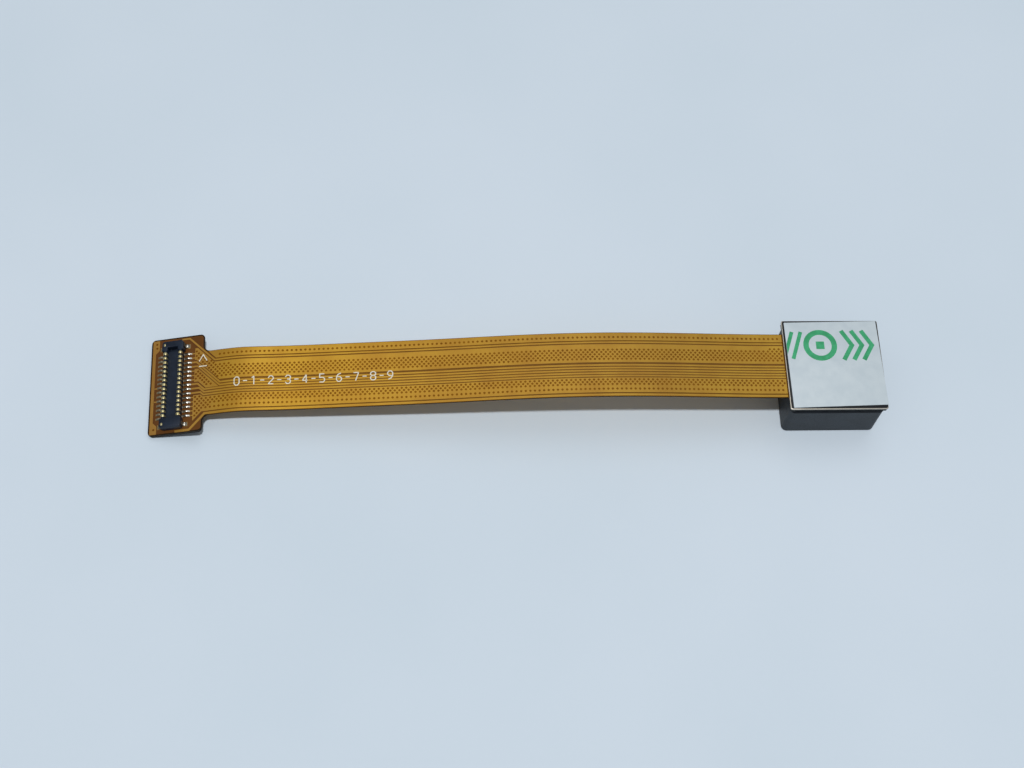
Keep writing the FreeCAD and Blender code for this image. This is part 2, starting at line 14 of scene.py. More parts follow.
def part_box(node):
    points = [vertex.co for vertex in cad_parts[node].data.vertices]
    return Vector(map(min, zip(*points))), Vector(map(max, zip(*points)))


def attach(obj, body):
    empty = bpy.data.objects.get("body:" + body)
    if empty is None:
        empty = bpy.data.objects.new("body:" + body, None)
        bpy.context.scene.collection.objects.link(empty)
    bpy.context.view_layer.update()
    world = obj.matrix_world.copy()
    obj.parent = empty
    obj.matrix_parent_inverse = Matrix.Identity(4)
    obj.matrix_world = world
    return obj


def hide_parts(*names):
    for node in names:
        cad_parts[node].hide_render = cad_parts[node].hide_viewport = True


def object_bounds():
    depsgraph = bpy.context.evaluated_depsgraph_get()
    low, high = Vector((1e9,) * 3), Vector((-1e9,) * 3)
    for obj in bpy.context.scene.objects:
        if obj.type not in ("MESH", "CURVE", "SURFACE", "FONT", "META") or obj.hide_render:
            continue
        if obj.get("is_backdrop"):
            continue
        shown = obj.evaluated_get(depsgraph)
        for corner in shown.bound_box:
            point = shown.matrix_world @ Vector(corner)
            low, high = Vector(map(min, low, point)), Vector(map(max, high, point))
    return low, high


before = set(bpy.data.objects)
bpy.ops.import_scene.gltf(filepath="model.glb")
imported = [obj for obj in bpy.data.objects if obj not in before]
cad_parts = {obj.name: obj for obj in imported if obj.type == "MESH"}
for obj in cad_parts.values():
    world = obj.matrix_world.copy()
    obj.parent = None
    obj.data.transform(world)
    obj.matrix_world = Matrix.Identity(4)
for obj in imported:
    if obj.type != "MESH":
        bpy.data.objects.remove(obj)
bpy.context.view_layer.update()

# Lens holder
# The dark block: one moulding of black glass-filled polymer that carries the barrel in front and
# closes over the sensor behind. Its skin is eroded to a fine matt grain, and its outer edges are
# rounded by the tool. It is glued to the circuit all round.
MM = 0.001
HOLDER_CORNER = 0.45
HOLDER_EDGE = 0.15
HOLDER_WALL = 0.50
HOLDER_MOUTH = 3.26
HOLDER_MOUTH_DEPTH = 0.26
HOLDER_BORE = 3.00
HOLDER_BORE_END = 2.65
FILTER_WINDOW = (4.40, 3.40, 0.30)
FILTER_SEAT = (5.40, 4.40, 0.06)
FILTER_SEAT_Z = 2.88
CAVITY_FLOOR_Z = 3.00
CAVITY_CORNER = 0.35
HOLDER_STEPS = 32
SHARP_EDGE = 38
# A ring close to each end of the rounded edge keeps the flat faces beside it evenly shaded
EDGE_SUPPORT = 0.04


def span(node):
    """Lowest and highest corner of a CAD node, in millimetres."""
    low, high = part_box(node)
    return np.array(low) / MM, np.array(high) / MM


def colour(code):
    """Linear colour of an sRGB hex code: c / 12.92 near black, else ((c + 0.055) / 1.055)^2.4."""
    srgb = np.array([int(code[i:i + 2], 16) / 255 for i in (1, 3, 5)])
    linear = np.where(srgb < 0.04045, srgb / 12.92, ((srgb + 0.055) / 1.055) ** 2.4)
    return (*linear.tolist(), 1.0)


def add(material, kind, inputs=None, **settings):
    """Add one shader node. An input is given a value, or a socket that it is linked to."""
    node = material.node_tree.nodes.new(kind)
    for name, value in settings.items():
        setattr(node, name, value)
    for name, value in (inputs or {}).items():
        if isinstance(value, bpy.types.NodeSocket):
            material.node_tree.links.new(value, node.inputs[name])
        else:
            node.inputs[name].default_value = value
    return node


def finish(name, shades, patch, grain, roughness, relief, **shader):
    """Material of one skin. Its colour drifts between two shades over patches, and its roughness
    and height follow a finer grain. Patch, grain and relief are real sizes in millimetres."""
    material = bpy.data.materials.new(name)
    material.use_nodes = True
    material.node_tree.nodes.clear()
    place = add(material, "ShaderNodeTexCoord").outputs["Object"]
    patches = add(material, "ShaderNodeTexNoise",
                  {"Vector": place, "Scale": 1 / (patch * MM), "Detail": 3.0})
    grains = add(material, "ShaderNodeTexNoise",
                 {"Vector": place, "Scale": 1 / (grain * MM), "Detail": 2.0})
    drift = add(material, "ShaderNodeMapRange",
                {"Value": patches.outputs["Fac"], "From Min": 0.35, "From Max": 0.65})
    tint = add(material, "ShaderNodeMix", {"Factor": drift.outputs["Result"],
                                           "A": colour(shades[0]), "B": colour(shades[1])},
               data_type="RGBA")
    gloss = add(material, "ShaderNodeMapRange",
                {"Value": grains.outputs["Fac"], "From Min": 0.3, "From Max": 0.7,
                 "To Min": roughness[0], "To Max": roughness[1]})
    bump = add(material, "ShaderNodeBump",
               {"Height": grains.outputs["Fac"], "Distance": relief * MM, "Strength": 1.0})
    surface = add(material, "ShaderNodeBsdfPrincipled",
                  {"Base Color": tint.outputs["Result"], "Roughness": gloss.outputs["Result"],
                   "Normal": bump.outputs["Normal"],
                   **{key.replace("_", " "): value for key, value in shader.items()}})
    add(material, "ShaderNodeOutputMaterial", {"Surface": surface.outputs["BSDF"]})
    return material


def ring(length, width, radius, z, steps):
    """Closed ring in plan: a rectangle with rounded corners. Corner k is an arc about its own
    centre, and a rectangle as wide as twice its radius is a circle."""
    turn = (np.arange(4 * steps) + 0.5) / (2 * steps) * np.pi
    corner = np.arange(4 * steps) // steps
    x = np.array([1, -1, -1, 1])[corner] * (length / 2 - radius) + radius * np.cos(turn)
    y = np.array([1, 1, -1, -1])[corner] * (width / 2 - radius) + radius * np.sin(turn)
    return np.stack([x, y, np.full_like(x, z)], -1)


def grid_faces(rows, columns, closed_rows, closed_columns):
    """Four-sided faces between neighbouring points of a grid, wrapped round where it closes."""
    i = np.arange(rows if closed_rows else rows - 1)[:, None]
    j = np.arange(columns if closed_columns else columns - 1)[None, :]
    below, beside = (i + 1) % rows, (j + 1) % columns
    corners = [i * columns + j, i * columns + beside, below * columns + beside, below * columns + j]
    return np.stack([c + 0 * (i + j) for c in corners], -1).reshape(-1, 4)


def loft(rings, closed=False):
    """Shell through a stack of rings. It closes on itself, or is capped at both ends."""
    rings = np.asarray(rings, float)
    rows, columns = rings.shape[:2]
    faces = [grid_faces(rows, columns, closed, True)]
    if not closed:
        faces += [np.arange(columns)[None], np.arange(columns)[None] + (rows - 1) * columns]
    return rings.reshape(-1, 3), faces


def make_piece(name, shells, materials, slot, *replaced):
    """One object from closed shells, each its points in millimetres and its faces. Points that
    meet at a pole are merged, and every shell is turned to face outwards."""
    points, faces, start = [], [], 0
    for shell_points, shell_faces in shells:
        points.append(shell_points)
        faces += [face for block in shell_faces for face in (block + start).tolist()]
        start += len(shell_points)
    mesh = bpy.data.meshes.new(name)
    mesh.from_pydata((np.concatenate(points) * MM).tolist(), [], faces)
    work = bmesh.new()
    work.from_mesh(mesh)
    bmesh.ops.remove_doubles(work, verts=work.verts, dist=1e-8)
    bmesh.ops.dissolve_degenerate(work, edges=work.edges, dist=1e-9)
    bmesh.ops.recalc_face_normals(work, faces=work.faces)
    work.to_mesh(mesh)
    work.free()
    mesh.polygons.foreach_set("use_smooth", np.ones(len(mesh.polygons), bool))
    mesh.set_sharp_from_angle(angle=math.radians(SHARP_EDGE))
    made = bpy.data.objects.new(name, mesh)
    bpy.context.scene.collection.objects.link(made)
    for material in materials:
        mesh.materials.append(material)
    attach(made, "root")
    if replaced:
        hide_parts(*replaced)
    return made


holder_low, holder_high = span("housing")
holder_length, holder_width = (holder_high - holder_low)[:2]


def holder_ring(inset, z):
    """Ring of the holder's outline, pulled in by an inset."""
    return ring(holder_length - 2 * inset, holder_width - 2 * inset, HOLDER_CORNER - inset, z,
                HOLDER_STEPS)


holder_rings = [holder_ring(0, z) for z in (holder_high[2], HOLDER_EDGE + EDGE_SUPPORT)]
for angle in np.radians(np.linspace(0, 90, 8)):
    holder_rings.append(holder_ring(HOLDER_EDGE * (1 - math.cos(angle)),
                                    HOLDER_EDGE * (1 - math.sin(angle))))
holder_rings.append(holder_ring(HOLDER_EDGE + EDGE_SUPPORT, 0))
for radius, z in ((HOLDER_MOUTH, 0), (HOLDER_BORE, HOLDER_MOUTH_DEPTH),
                  (HOLDER_BORE, HOLDER_BORE_END)):
    holder_rings.append(ring(2 * radius, 2 * radius, radius, z, HOLDER_STEPS))
cavity = (holder_length - 2 * HOLDER_WALL, holder_width - 2 * HOLDER_WALL, CAVITY_CORNER)
for outline, z in ((FILTER_WINDOW, HOLDER_BORE_END), (FILTER_WINDOW, FILTER_SEAT_Z),
                   (FILTER_SEAT, FILTER_SEAT_Z), (FILTER_SEAT, CAVITY_FLOOR_Z),
                   (cavity, CAVITY_FLOOR_Z), (cavity, holder_high[2])):
    holder_rings.append(ring(*outline, z, HOLDER_STEPS))
# Glass-filled liquid crystal polymer, moulded against an eroded tool: matt slate black, with a
# grain of about 0.05 mm that is drawn twice as coarse to show
holder_plastic = finish("lcp_black_eroded", ("#20272E", "#272F37"), 1.6, 0.10, (0.45, 0.60), 0.004,
                        Specular_IOR_Level=0.35)
make_piece("lens_holder", [loft(holder_rings, closed=True)], [holder_plastic],
           "holder_plastic", "housing")

# Lens barrel and front lens
# The barrel is moulded in black polycarbonate and screwed into the holder, then locked with four
# dots of glue. Its mouth is a ribbed cone that traps stray light, and the first lens bulges into
# it behind a round stop.
TURN_STEPS = 128
BARREL_CHAMFER = 0.12
MOUTH_RADIUS = 1.75
STOP_RADIUS = 1.00
MOUTH_RIDGES = 4
# Inner steps from the sensor's side to the front: radius, and the height that it goes down to
BARREL_STEPS = ((2.35, 1.55), (2.10, 1.11), (1.85, 0.82))
LENS_1_SEAT = 1.60
LENS_1_RADIUS = 1.59
LENS_1_RIM = 0.35
LENS_1_CAP = 0.95
LENS_1_RISE = 0.17
LENS_1_BACK = 0.85
LENS_1_HOLLOW = 0.08


def turned(profile):
    """Shell turned about the optical axis: a closed run of (radius, z) corners carried round."""
    radius, z = np.array(profile, float).T
    turn = np.arange(TURN_STEPS) / TURN_STEPS * 2 * np.pi
    points = np.stack([radius[:, None] * np.cos(turn), radius[:, None] * np.sin(turn),
                       z[:, None] + 0 * turn], -1)
    return points.reshape(-1, 3), [grid_faces(len(profile), TURN_STEPS, True, True)]


def cap_points(radius, rim_z, rise):
    """Points of a spherical cap from the axis to its rim: z falls by the sphere's sagitta."""
    sphere = (radius ** 2 + rise ** 2) / (2 * abs(rise))
    r = np.linspace(0, radius, 10)
    drop = sphere - np.sqrt(sphere ** 2 - r ** 2)
    return np.stack([r, rim_z + rise - math.copysign(1, rise) * drop], -1).tolist()


barrel_low, barrel_high = span("lens_barrel")
barrel_radius = barrel_high[0]
lens_1_z = span("lens_1")[1][2] - LENS_1_RIM
mouth_slope = np.linspace(0, 1, 2 * MOUTH_RIDGES + 1)
mouth_radii = MOUTH_RADIUS + (STOP_RADIUS - MOUTH_RADIUS) * mouth_slope
mouth_radii[1::2] = mouth_radii[2::2]
mouth_z = barrel_low[2] + (lens_1_z - barrel_low[2]) * mouth_slope
barrel_profile = [
    *zip(mouth_radii[::-1], mouth_z[::-1]),
    (barrel_radius - BARREL_CHAMFER, barrel_low[2]),
    (barrel_radius, barrel_low[2] + BARREL_CHAMFER),
    (barrel_radius, barrel_high[2]),
]
for radius, z in (*BARREL_STEPS, (LENS_1_SEAT, lens_1_z)):
    barrel_profile += [(radius, barrel_profile[-1][1]), (radius, z)]
# Polycarbonate with carbon black, moulded against a polished tool: darker and a little glossier
# than the holder
barrel_plastic = finish("polycarbonate_black", ("#14161A", "#1C1F24"), 1.2, 0.08, (0.30, 0.42),
                        0.002)
make_piece("screwed_barrel", [turned(barrel_profile)], [barrel_plastic], "barrel_plastic",
           "lens_barrel")
lens_1_profile = [
    *cap_points(LENS_1_CAP, lens_1_z, -LENS_1_RISE),
    (LENS_1_RADIUS, lens_1_z),
    (LENS_1_RADIUS, lens_1_z + LENS_1_RIM),
    *reversed(cap_points(LENS_1_BACK, lens_1_z + LENS_1_RIM, -LENS_1_HOLLOW)),
]
# Cyclic olefin polymer, moulded clear, with a coating that reflects a faint violet
lens_polymer = finish("cyclic_olefin_coated", ("#E9E6F2", "#F3F0FA"), 2.0, 0.5, (0.02, 0.04),
                      0.0001, Transmission_Weight=0.92, IOR=1.54, Coat_Weight=0.6,
                      Coat_Tint=colour("#A58BE0"), Coat_Roughness=0.03)
make_piece("front_lens", [turned(lens_1_profile)], [lens_polymer], "lens_polymer", "lens_1")
# Ultraviolet-cured epoxy, milky black and wet-looking
black_epoxy = finish("epoxy_black_cured", ("#0B0D10", "#121418"), 0.6, 0.15, (0.35, 0.5), 0.003,
                     Specular_IOR_Level=0.25)


def dress(nodes, material):
    """Give CAD nodes that keep their shape a finish of their own."""
    for name in nodes:
        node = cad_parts[name]
        node.data.materials.clear()
        node.data.materials.append(material)


dress(["lens_2", "lens_3", "lens_4"], lens_polymer)
dress(["thread_lock", "housing_seal"], black_epoxy)
# Stamped polyester film, blackened on both faces
black_film = finish("polyester_film_black", ("#0C0D10", "#121418"), 0.8, 0.06, (0.45, 0.60), 0.001)
dress(["baffle_1", "baffle_2"], black_film)
dress(["lens_spacer", "lens_retainer"], barrel_plastic)

# Sensor side
# Inside the holder: a glass filter in its glue, and on the circuit the bare silicon sensor with
# its gold wires and the chip capacitors. None of it shows once the holder is on.

# Blue-green infrared-cut glass: coated float glass, faintly tinted
filter_glass = finish("infrared_cut_glass", ("#BFE3DC", "#CBEDE6"), 2.0, 0.5, (0.02, 0.05), 0.0001,
                      Transmission_Weight=0.9, IOR=1.52)
dress(["ir_filter"], filter_glass)
# Acrylic adhesive, cured clear and slightly yellow
clear_adhesive = finish("acrylic_adhesive_clear", ("#D9D2B4", "#E4DEC6"), 0.8, 0.2, (0.15, 0.30),
                        0.002, Transmission_Weight=0.4, IOR=1.48)
dress(["filter_bond", "die_attach"], clear_adhesive)
# Polished silicon with a micro-lens array: dark, violet to green where it drifts
silicon = finish("silicon_sensor", ("#2A2440", "#24383A"), 2.4, 0.03, (0.10, 0.18), 0.0005,
                 Metallic=0.4)
dress(["image_sensor"], silicon)
# Drawn gold wire
gold_wire = finish("gold_drawn", ("#E0B04A", "#EBC266"), 0.3, 0.05, (0.15, 0.25), 0.0005,
                   Metallic=1.0)
dress(["bond_wires"], gold_wire)
# Fired barium titanate ceramic, brown and matt
ceramic = finish("capacitor_ceramic_fired", ("#8A6E52", "#9C7F62"), 0.3, 0.04, (0.5, 0.65), 0.002)
dress(["capacitor_bodies"], ceramic)
# Matt tin over nickel, plated onto the ends of each chip
matt_tin = finish("tin_plated_matt", ("#B9B8B4", "#C9C8C4"), 0.3, 0.03, (0.40, 0.52), 0.001,
                  Metallic=1.0)
dress(["capacitor_terminals"], matt_tin)

# Flexible circuit
# One laminate of copper and polyimide film, cut by laser: the pad in the block, the long ribbon
# and the tab under the plug. It is drawn flat here, u along it from the plug's centre and y
# across, and then bent along the curve that the ribbon takes over the table.
TAB_TILT = math.radians(16.1)
TAB_X = -54.64
TAB_STACK = 0.36
FILM_THICKNESS = 0.13
TAB_OUTER, TAB_INNER = 2.12, 2.53
TAB_FAR, TAB_NEAR = 4.50, 4.22
TAB_CORNER, NECK_FILLET = 0.35, 0.55
RIM_WIDTH = 0.10
RIBBON_HALF = 2.90
NECK_U = 3.20
RIBBON_SHARE = (0.1566, 0.3145, 0.4724, 0.6197, 0.7670, 0.9039, 0.9544)
RIBBON_BOW = (0.68, 1.30, 1.28, 0.90, 0.64, 0.49, 0.44)
PAD_FRONT_Z, PAD_BACK_Z = 4.05, 4.38
PAD_CORNER, PAD_EDGE, PAD_GAP = 0.15, 0.02, 0.002
COPPER_RELIEF = 0.014
LEVEL_RUN = 10.0
FILM_TUCK = 0.06


def smooth_heights(knots, heights, first_slope, last_slope, x):
    """Cubic curve through the knots. The knots' slopes m solve the spline's equations
    m[i-1]/h[i-1] + 2 m[i] (1/h[i-1] + 1/h[i]) + m[i+1]/h[i] = 3 (d[i-1]/h[i-1]^2 + d[i]/h[i]^2),
    and each stretch is the Hermite cubic of its ends."""
    step, rise = np.diff(knots), np.diff(heights)
    size = len(knots)
    system, right = np.eye(size), np.zeros(size)
    right[0], right[-1] = first_slope, last_slope
    for i in range(1, size - 1):
        system[i, i - 1:i + 2] = (1 / step[i - 1], 2 / step[i - 1] + 2 / step[i], 1 / step[i])
        right[i] = 3 * (rise[i - 1] / step[i - 1] ** 2 + rise[i] / step[i] ** 2)
    slope = np.linalg.solve(system, right)
    i = np.clip(np.searchsorted(knots, x) - 1, 0, size - 2)
    t = (x - knots[i]) / step[i]
    return (heights[i] * (1 + 2 * t) * (1 - t) ** 2 + slope[i] * step[i] * t * (1 - t) ** 2
            + heights[i + 1] * t * t * (3 - 2 * t) + slope[i + 1] * step[i] * t * t * (t - 1))


along = np.array([math.cos(TAB_TILT), math.sin(TAB_TILT)])
tab_origin = np.array([TAB_X, TAB_OUTER * along[1] + TAB_STACK * along[0]])
neck = tab_origin + NECK_U * along
pad_low, pad_high = span("stiffener_bond")
run = pad_low[0] - neck[0]
knot_x = np.array([neck[0], *(pad_low[0] - run * np.array(RIBBON_SHARE[::-1])), pad_low[0]])
line_z = PAD_BACK_Z + (neck[1] - PAD_BACK_Z) * (pad_low[0] - knot_x) / run
knot_z = line_z + np.array([0, *RIBBON_BOW[::-1], 0])
curve_x = np.linspace(neck[0], pad_low[0], 1600)
curve_z = smooth_heights(knot_x, knot_z, math.tan(TAB_TILT), 0, curve_x)
curve_u = NECK_U + np.concatenate([[0], np.cumsum(np.hypot(np.diff(curve_x), np.diff(curve_z)))])
ribbon_end = curve_u[-1]
# The tab's flat stretch goes before the ribbon's curve, and a level one after it
before_x, before_z = tab_origin - LEVEL_RUN * along
table_u = np.array([-LEVEL_RUN, *curve_u, ribbon_end + LEVEL_RUN])
table_x = np.array([before_x, *curve_x, curve_x[-1] + LEVEL_RUN])
table_z = np.array([before_z, *curve_z, curve_z[-1]])
slope_x, slope_z = np.gradient(curve_x, curve_u), np.gradient(curve_z, curve_u)


def bent(shell):
    """Carry a flat shell of (u, y, height) points to its place: the point of the curve at u, moved
    out along the curve's normal by the height."""
    points, faces = shell
    u, y, height = points.T
    way_x, way_z = np.interp(u, curve_u, slope_x), np.interp(u, curve_u, slope_z)
    size = np.hypot(way_x, way_z)
    x = np.interp(u, table_u, table_x) - height * way_z / size
    z = np.interp(u, table_u, table_z) + height * way_x / size
    return np.stack([x, y, z], -1), faces


def wing(half):
    """Grid of one side of the tab, from the ribbon's edge out to that half width. The film starts
    and stops along u where its rounded corner, r - sqrt(r^2 - d^2), and towards the ribbon the
    hollow fillet of the neck let it."""
    turn = np.radians(np.linspace(0, 90, 9))
    y = np.concatenate([RIBBON_HALF + NECK_FILLET * (1 - np.cos(turn)),
                        half - TAB_CORNER + TAB_CORNER * np.sin(turn)])
    past = np.clip(y - half + TAB_CORNER, 0, None)
    corner = TAB_CORNER - np.sqrt(np.clip(TAB_CORNER ** 2 - past ** 2, 0, None))
    hollow = np.clip(RIBBON_HALF + NECK_FILLET - y, 0, None)
    fillet = NECK_FILLET - np.sqrt(np.clip(NECK_FILLET ** 2 - hollow ** 2, 0, None))
    first, last = corner - TAB_OUTER, TAB_INNER - corner + fillet
    return first[:, None] + (last - first)[:, None] * np.linspace(0, 1, 25), y[:, None]


film_top = -COPPER_RELIEF
far_u, far_y = wing(TAB_FAR)
near_u, near_y = wing(TAB_NEAR)
strip_u = np.concatenate([far_u[0], np.linspace(far_u[0, -1], ribbon_end + FILM_TUCK, 200)[1:]])
strip_y = np.linspace(-RIBBON_HALF, RIBBON_HALF, 7)


def patch(u, y):
    """Open sheet on a grid of flat places."""
    grid_u, grid_y = np.broadcast_arrays(u, y)
    points = np.stack([grid_u, grid_y, np.full(grid_u.shape, film_top)], -1).reshape(-1, 3)
    return bent((points, [grid_faces(*grid_u.shape, False, False)]))


# Tones of the amber film along the circuit: browner over the tab's dark stiffener, then a painted
# sheen where the ribbon first rises and painted shade that deepens towards the block. Each is a
# place in x and the tone that multiplies a finish there
FILM_TONES_AND_SHEEN = ((-56.6, "#D2C7FF"), (-52.2, "#DCD2F8"), (-50.6, "#F4F0C0"), (-45.0, "#FFFFA8"),
              (-36.0, "#F6F3A4"), (-14.0, "#E6E3A0"), (-5.0, "#E9E6A0"))
# The copper's tones are browner over the tab's stiffener; along the ribbon they are a painted sheen
# where it first rises and painted shade towards the block, which also holds back the soft box's
# reflection
COPPER_SHEEN_AND_SHADE = ((-56.6, "#DADCAC"), (-52.6, "#E9F0AA"), (-50.6, "#EDF488"), (-45.0, "#F6FD7F"),
                (-36.0, "#E2E67A"), (-25.0, "#D2D674"), (-14.0, "#C4CA6E"), (-5.0, "#CFDA76"))


def tone_and_sheen_along_x(material, tones=FILM_TONES_AND_SHEEN):
    """Multiply a finish's colour by tones that change smoothly along x: painted sheen and painted
    shade along the circuit.
    """
    nodes = material.node_tree.nodes
    place = next(n for n in nodes if n.bl_idname == "ShaderNodeTexCoord").outputs["Object"]
    surface = next(n for n in nodes if n.bl_idname == "ShaderNodeBsdfPrincipled")
    plain = surface.inputs["Base Color"].links[0].from_socket
    parts = add(material, "ShaderNodeSeparateXYZ", {"Vector": place})
    along_x = add(material, "ShaderNodeMapRange",
                  {"Value": parts.outputs["X"], "From Min": tones[0][0] * MM,
                   "From Max": tones[-1][0] * MM})
    ramp = add(material, "ShaderNodeValToRGB", {"Fac": along_x.outputs["Result"]})
    stops = ramp.color_ramp.elements
    for x, _ in tones[1:-1]:
        stops.new((x - tones[0][0]) / (tones[-1][0] - tones[0][0]))
    for stop, (_, code) in zip(stops, tones):
        stop.color = colour(code)
    shade = add(material, "ShaderNodeMix", {"Factor": 1.0, "A": plain, "B": ramp.outputs["Color"]},
                data_type="RGBA", blend_type="MULTIPLY")
    material.node_tree.links.new(shade.outputs["Result"], surface.inputs["Base Color"])
    return material


# Polyimide film over its adhesive: amber brown, with the painted sheen and shade of its tones along
# x
film_skin = tone_and_sheen_along_x(finish("polyimide_film_bare", ("#6B4616", "#77501C"), 1.5, 0.05, (0.34, 0.46),
                         0.0006, Specular_IOR_Level=0.15))
# The laser leaves the laminate's cut edge charred
cut_edge = finish("polyimide_cut_edge", ("#1E150B", "#2C1F10"), 0.5, 0.04, (0.5, 0.7), 0.002,
                  Specular_IOR_Level=0.1)
# The ribbon's under side is copper below amber film too
under_skin = finish("copper_under_side", ("#C88A16", "#D49722"), 2.2, 0.05, (0.3, 0.42), 0.0005,
                    Metallic=0.2)
film = make_piece("circuit_film", [patch(strip_u[:, None], strip_y), patch(far_u, far_y),
                                   patch(near_u, -near_y)],
                  [film_skin, cut_edge, under_skin], "polyimide", "flex_circuit")
if film.data.polygons[0].normal.z < 0:
    film.data.flip_normals()
wall = film.modifiers.new("thickness", "SOLIDIFY")
wall.thickness = (FILM_THICKNESS - COPPER_RELIEF) * MM
wall.offset = -1
wall.use_rim = True
wall.material_offset_rim = 1
wall.material_offset = 2


def slab(outline, low, high, edge=0.0):
    """Plate from an outline in plan, with its top and bottom edges rounded by pulling the outline
    in along its own normals by edge * (1 - cos) while it rises by edge * (1 - sin)."""
    outline = np.asarray(outline, float)
    forward = np.roll(outline, -1, 0) - outline
    forward /= np.linalg.norm(forward, axis=1)[:, None]
    normal = np.stack([forward[:, 1], -forward[:, 0]], -1)
    mean = normal + np.roll(normal, 1, 0)
    mean /= (mean * normal).sum(1)[:, None]
    rise = np.radians([90, 45, 0] if edge else [0])
    inset = edge * (1 - np.cos(rise))
    lift = edge * (1 - np.sin(rise))
    levels = [(low + lift[i], inset[i]) for i in range(len(rise))]
    levels += [(high - lift[i], inset[i]) for i in reversed(range(len(rise)))]
    rings = [np.column_stack([outline - mean * inwards, np.full(len(outline), z)])
             for z, inwards in levels]
    return loft(rings)


# Round the tab the laser has charred the film's face too, in a narrow dark rim
RIM_PROUD, RIM_SUNK = 0.004, 0.010
rim = np.concatenate([np.column_stack([far_u[:, -1], far_y]),
                      np.column_stack([far_u[:, 0], far_y])[::-1],
                      np.column_stack([near_u[:, 0], -near_y]),
                      np.column_stack([near_u[:, -1], -near_y])[::-1]])
rim_way = np.gradient(rim, axis=0)
rim_way /= np.linalg.norm(rim_way, axis=1)[:, None]
rim_inner = rim + RIM_WIDTH * np.stack([-rim_way[:, 1], rim_way[:, 0]], -1)
rim_levels = [np.column_stack([edge, np.full(len(edge), film_top + rise)]) for edge, rise in
              ((rim, -RIM_SUNK), (rim, RIM_PROUD), (rim_inner, RIM_PROUD), (rim_inner, -RIM_SUNK))]
make_piece("charred_rim", [bent(loft(np.stack(rim_levels, 1)))], [cut_edge], "polyimide")

# The pad inside the block is blackened by a printed mask, and its black is drawn deeper still as
# painted shade under the plate's overhang
black_mask_and_shade = finish("solder_mask_black_and_shade", ("#0A0C0F", "#101317"), 1.0, 0.06, (0.5, 0.6), 0.001,
                    Specular_IOR_Level=0.2)
pad_outline = ring(*(pad_high - pad_low)[:2], PAD_CORNER, 0, 8)[:, :2]
make_piece("circuit_pad", [slab(pad_outline, PAD_FRONT_Z, PAD_BACK_Z - PAD_GAP, PAD_EDGE)],
           [black_mask_and_shade], "polyimide")

# Glue and painted shade round the block
# Black epoxy that seals the holder to the circuit has squeezed out of the joint and stands round
# the top of the holder as a thin bead. It was wiped by hand, so its lower edge wanders. The bead is
# drawn deep enough to stand also for the shade under the plate's overhang: partly glue, partly
# painted shade.
BEAD_PROUD, BEAD_ROOT = 0.028, 0.030
# The bead's depth takes in the band of painted shade below the glue
BEAD_AND_SHADE_DEPTH, BEAD_ABOVE = 0.38, 0.02
BEAD_WANDER = 0.08
bead_turn = np.arctan2(*ring(holder_length, holder_width, HOLDER_CORNER, 0, 40)[:, 1::-1].T)
bead_low = PAD_FRONT_Z - BEAD_AND_SHADE_DEPTH + BEAD_WANDER * (
    0.5 * np.sin(3 * bead_turn + 0.7) + 0.3 * np.sin(7 * bead_turn + 2.1)
    + 0.2 * np.sin(13 * bead_turn + 4.0))
bead_rings = []
for proud, share in ((-BEAD_ROOT, 1.0), (BEAD_PROUD, 1.0), (BEAD_PROUD, 0.3),
                     (BEAD_PROUD * 0.6, 0.1), (-BEAD_ROOT, 0.0)):
    level = ring(holder_length + 2 * proud, holder_width + 2 * proud, HOLDER_CORNER + proud, 0, 40)
    level[:, 2] = bead_low + (PAD_FRONT_Z + BEAD_ABOVE - bead_low) * share
    bead_rings.append(level)
# The same black epoxy, wiped matt, its black band partly painted shade under the plate
epoxy_and_painted_shade = finish("epoxy_black_and_shade", ("#0D1116", "#151A20"), 0.6, 0.08, (0.55, 0.7), 0.003,
                     Specular_IOR_Level=0.06)
make_piece("glue_bead_and_shade", [loft(bead_rings, closed=True)], [epoxy_and_painted_shade], "black_epoxy")

# Copper artwork of the circuit
# Etched copper under a glossy amber film: plain and hatched ground areas at both sides, five fine
# lines between them, and on the tab a border and the lines that leave the plug. The film dips by
# about a hundredth of a millimetre between the copper.
LINE_WIDTH = 0.15
LINES_Y = (-0.08, -0.333, -0.575, -0.82, -1.055)
BORDER_SUM = 5.48
FAR_LINE_Y = 2.00
NEAR_BAND_Y = -2.755
HATCH_PITCH = 0.375
HATCH_ROW = 0.208
HATCH_FIRST_Y = 1.31
HATCH_RADIUS = 0.106
HATCH_MARGIN = 0.12
# Rows beyond the first are left out of the wide area from this far past the plug to this far from
# the block, and the near area has none in this band
PLAIN_START, PLAIN_STOP = 4.8, 1.2
NEAR_PLAIN_LOW, NEAR_PLAIN_HIGH = -2.2, -1.98
EDGE_ROW_START, EDGE_ROW_STOP, EDGE_ROW_Y = 3.9, 0.3, 2.47
COPPER_LOW = -0.018
LINE_HIGH, AREA_HIGH = -0.005, -0.004
OPENING_LOW, OPENING_HIGH = -0.008, -0.002
COPPER_STOP = 0.12
STATION = 0.30


def between(edge_a, edge_b, low, high):
    """Thin plate between two flat lines of as many points, as a bar of four corners."""
    corners = [(edge_a, low), (edge_a, high), (edge_b, high), (edge_b, low)]
    rings = np.stack([np.column_stack([edge, np.full(len(edge), h)]) for edge, h in corners], 1)
    return loft(rings)


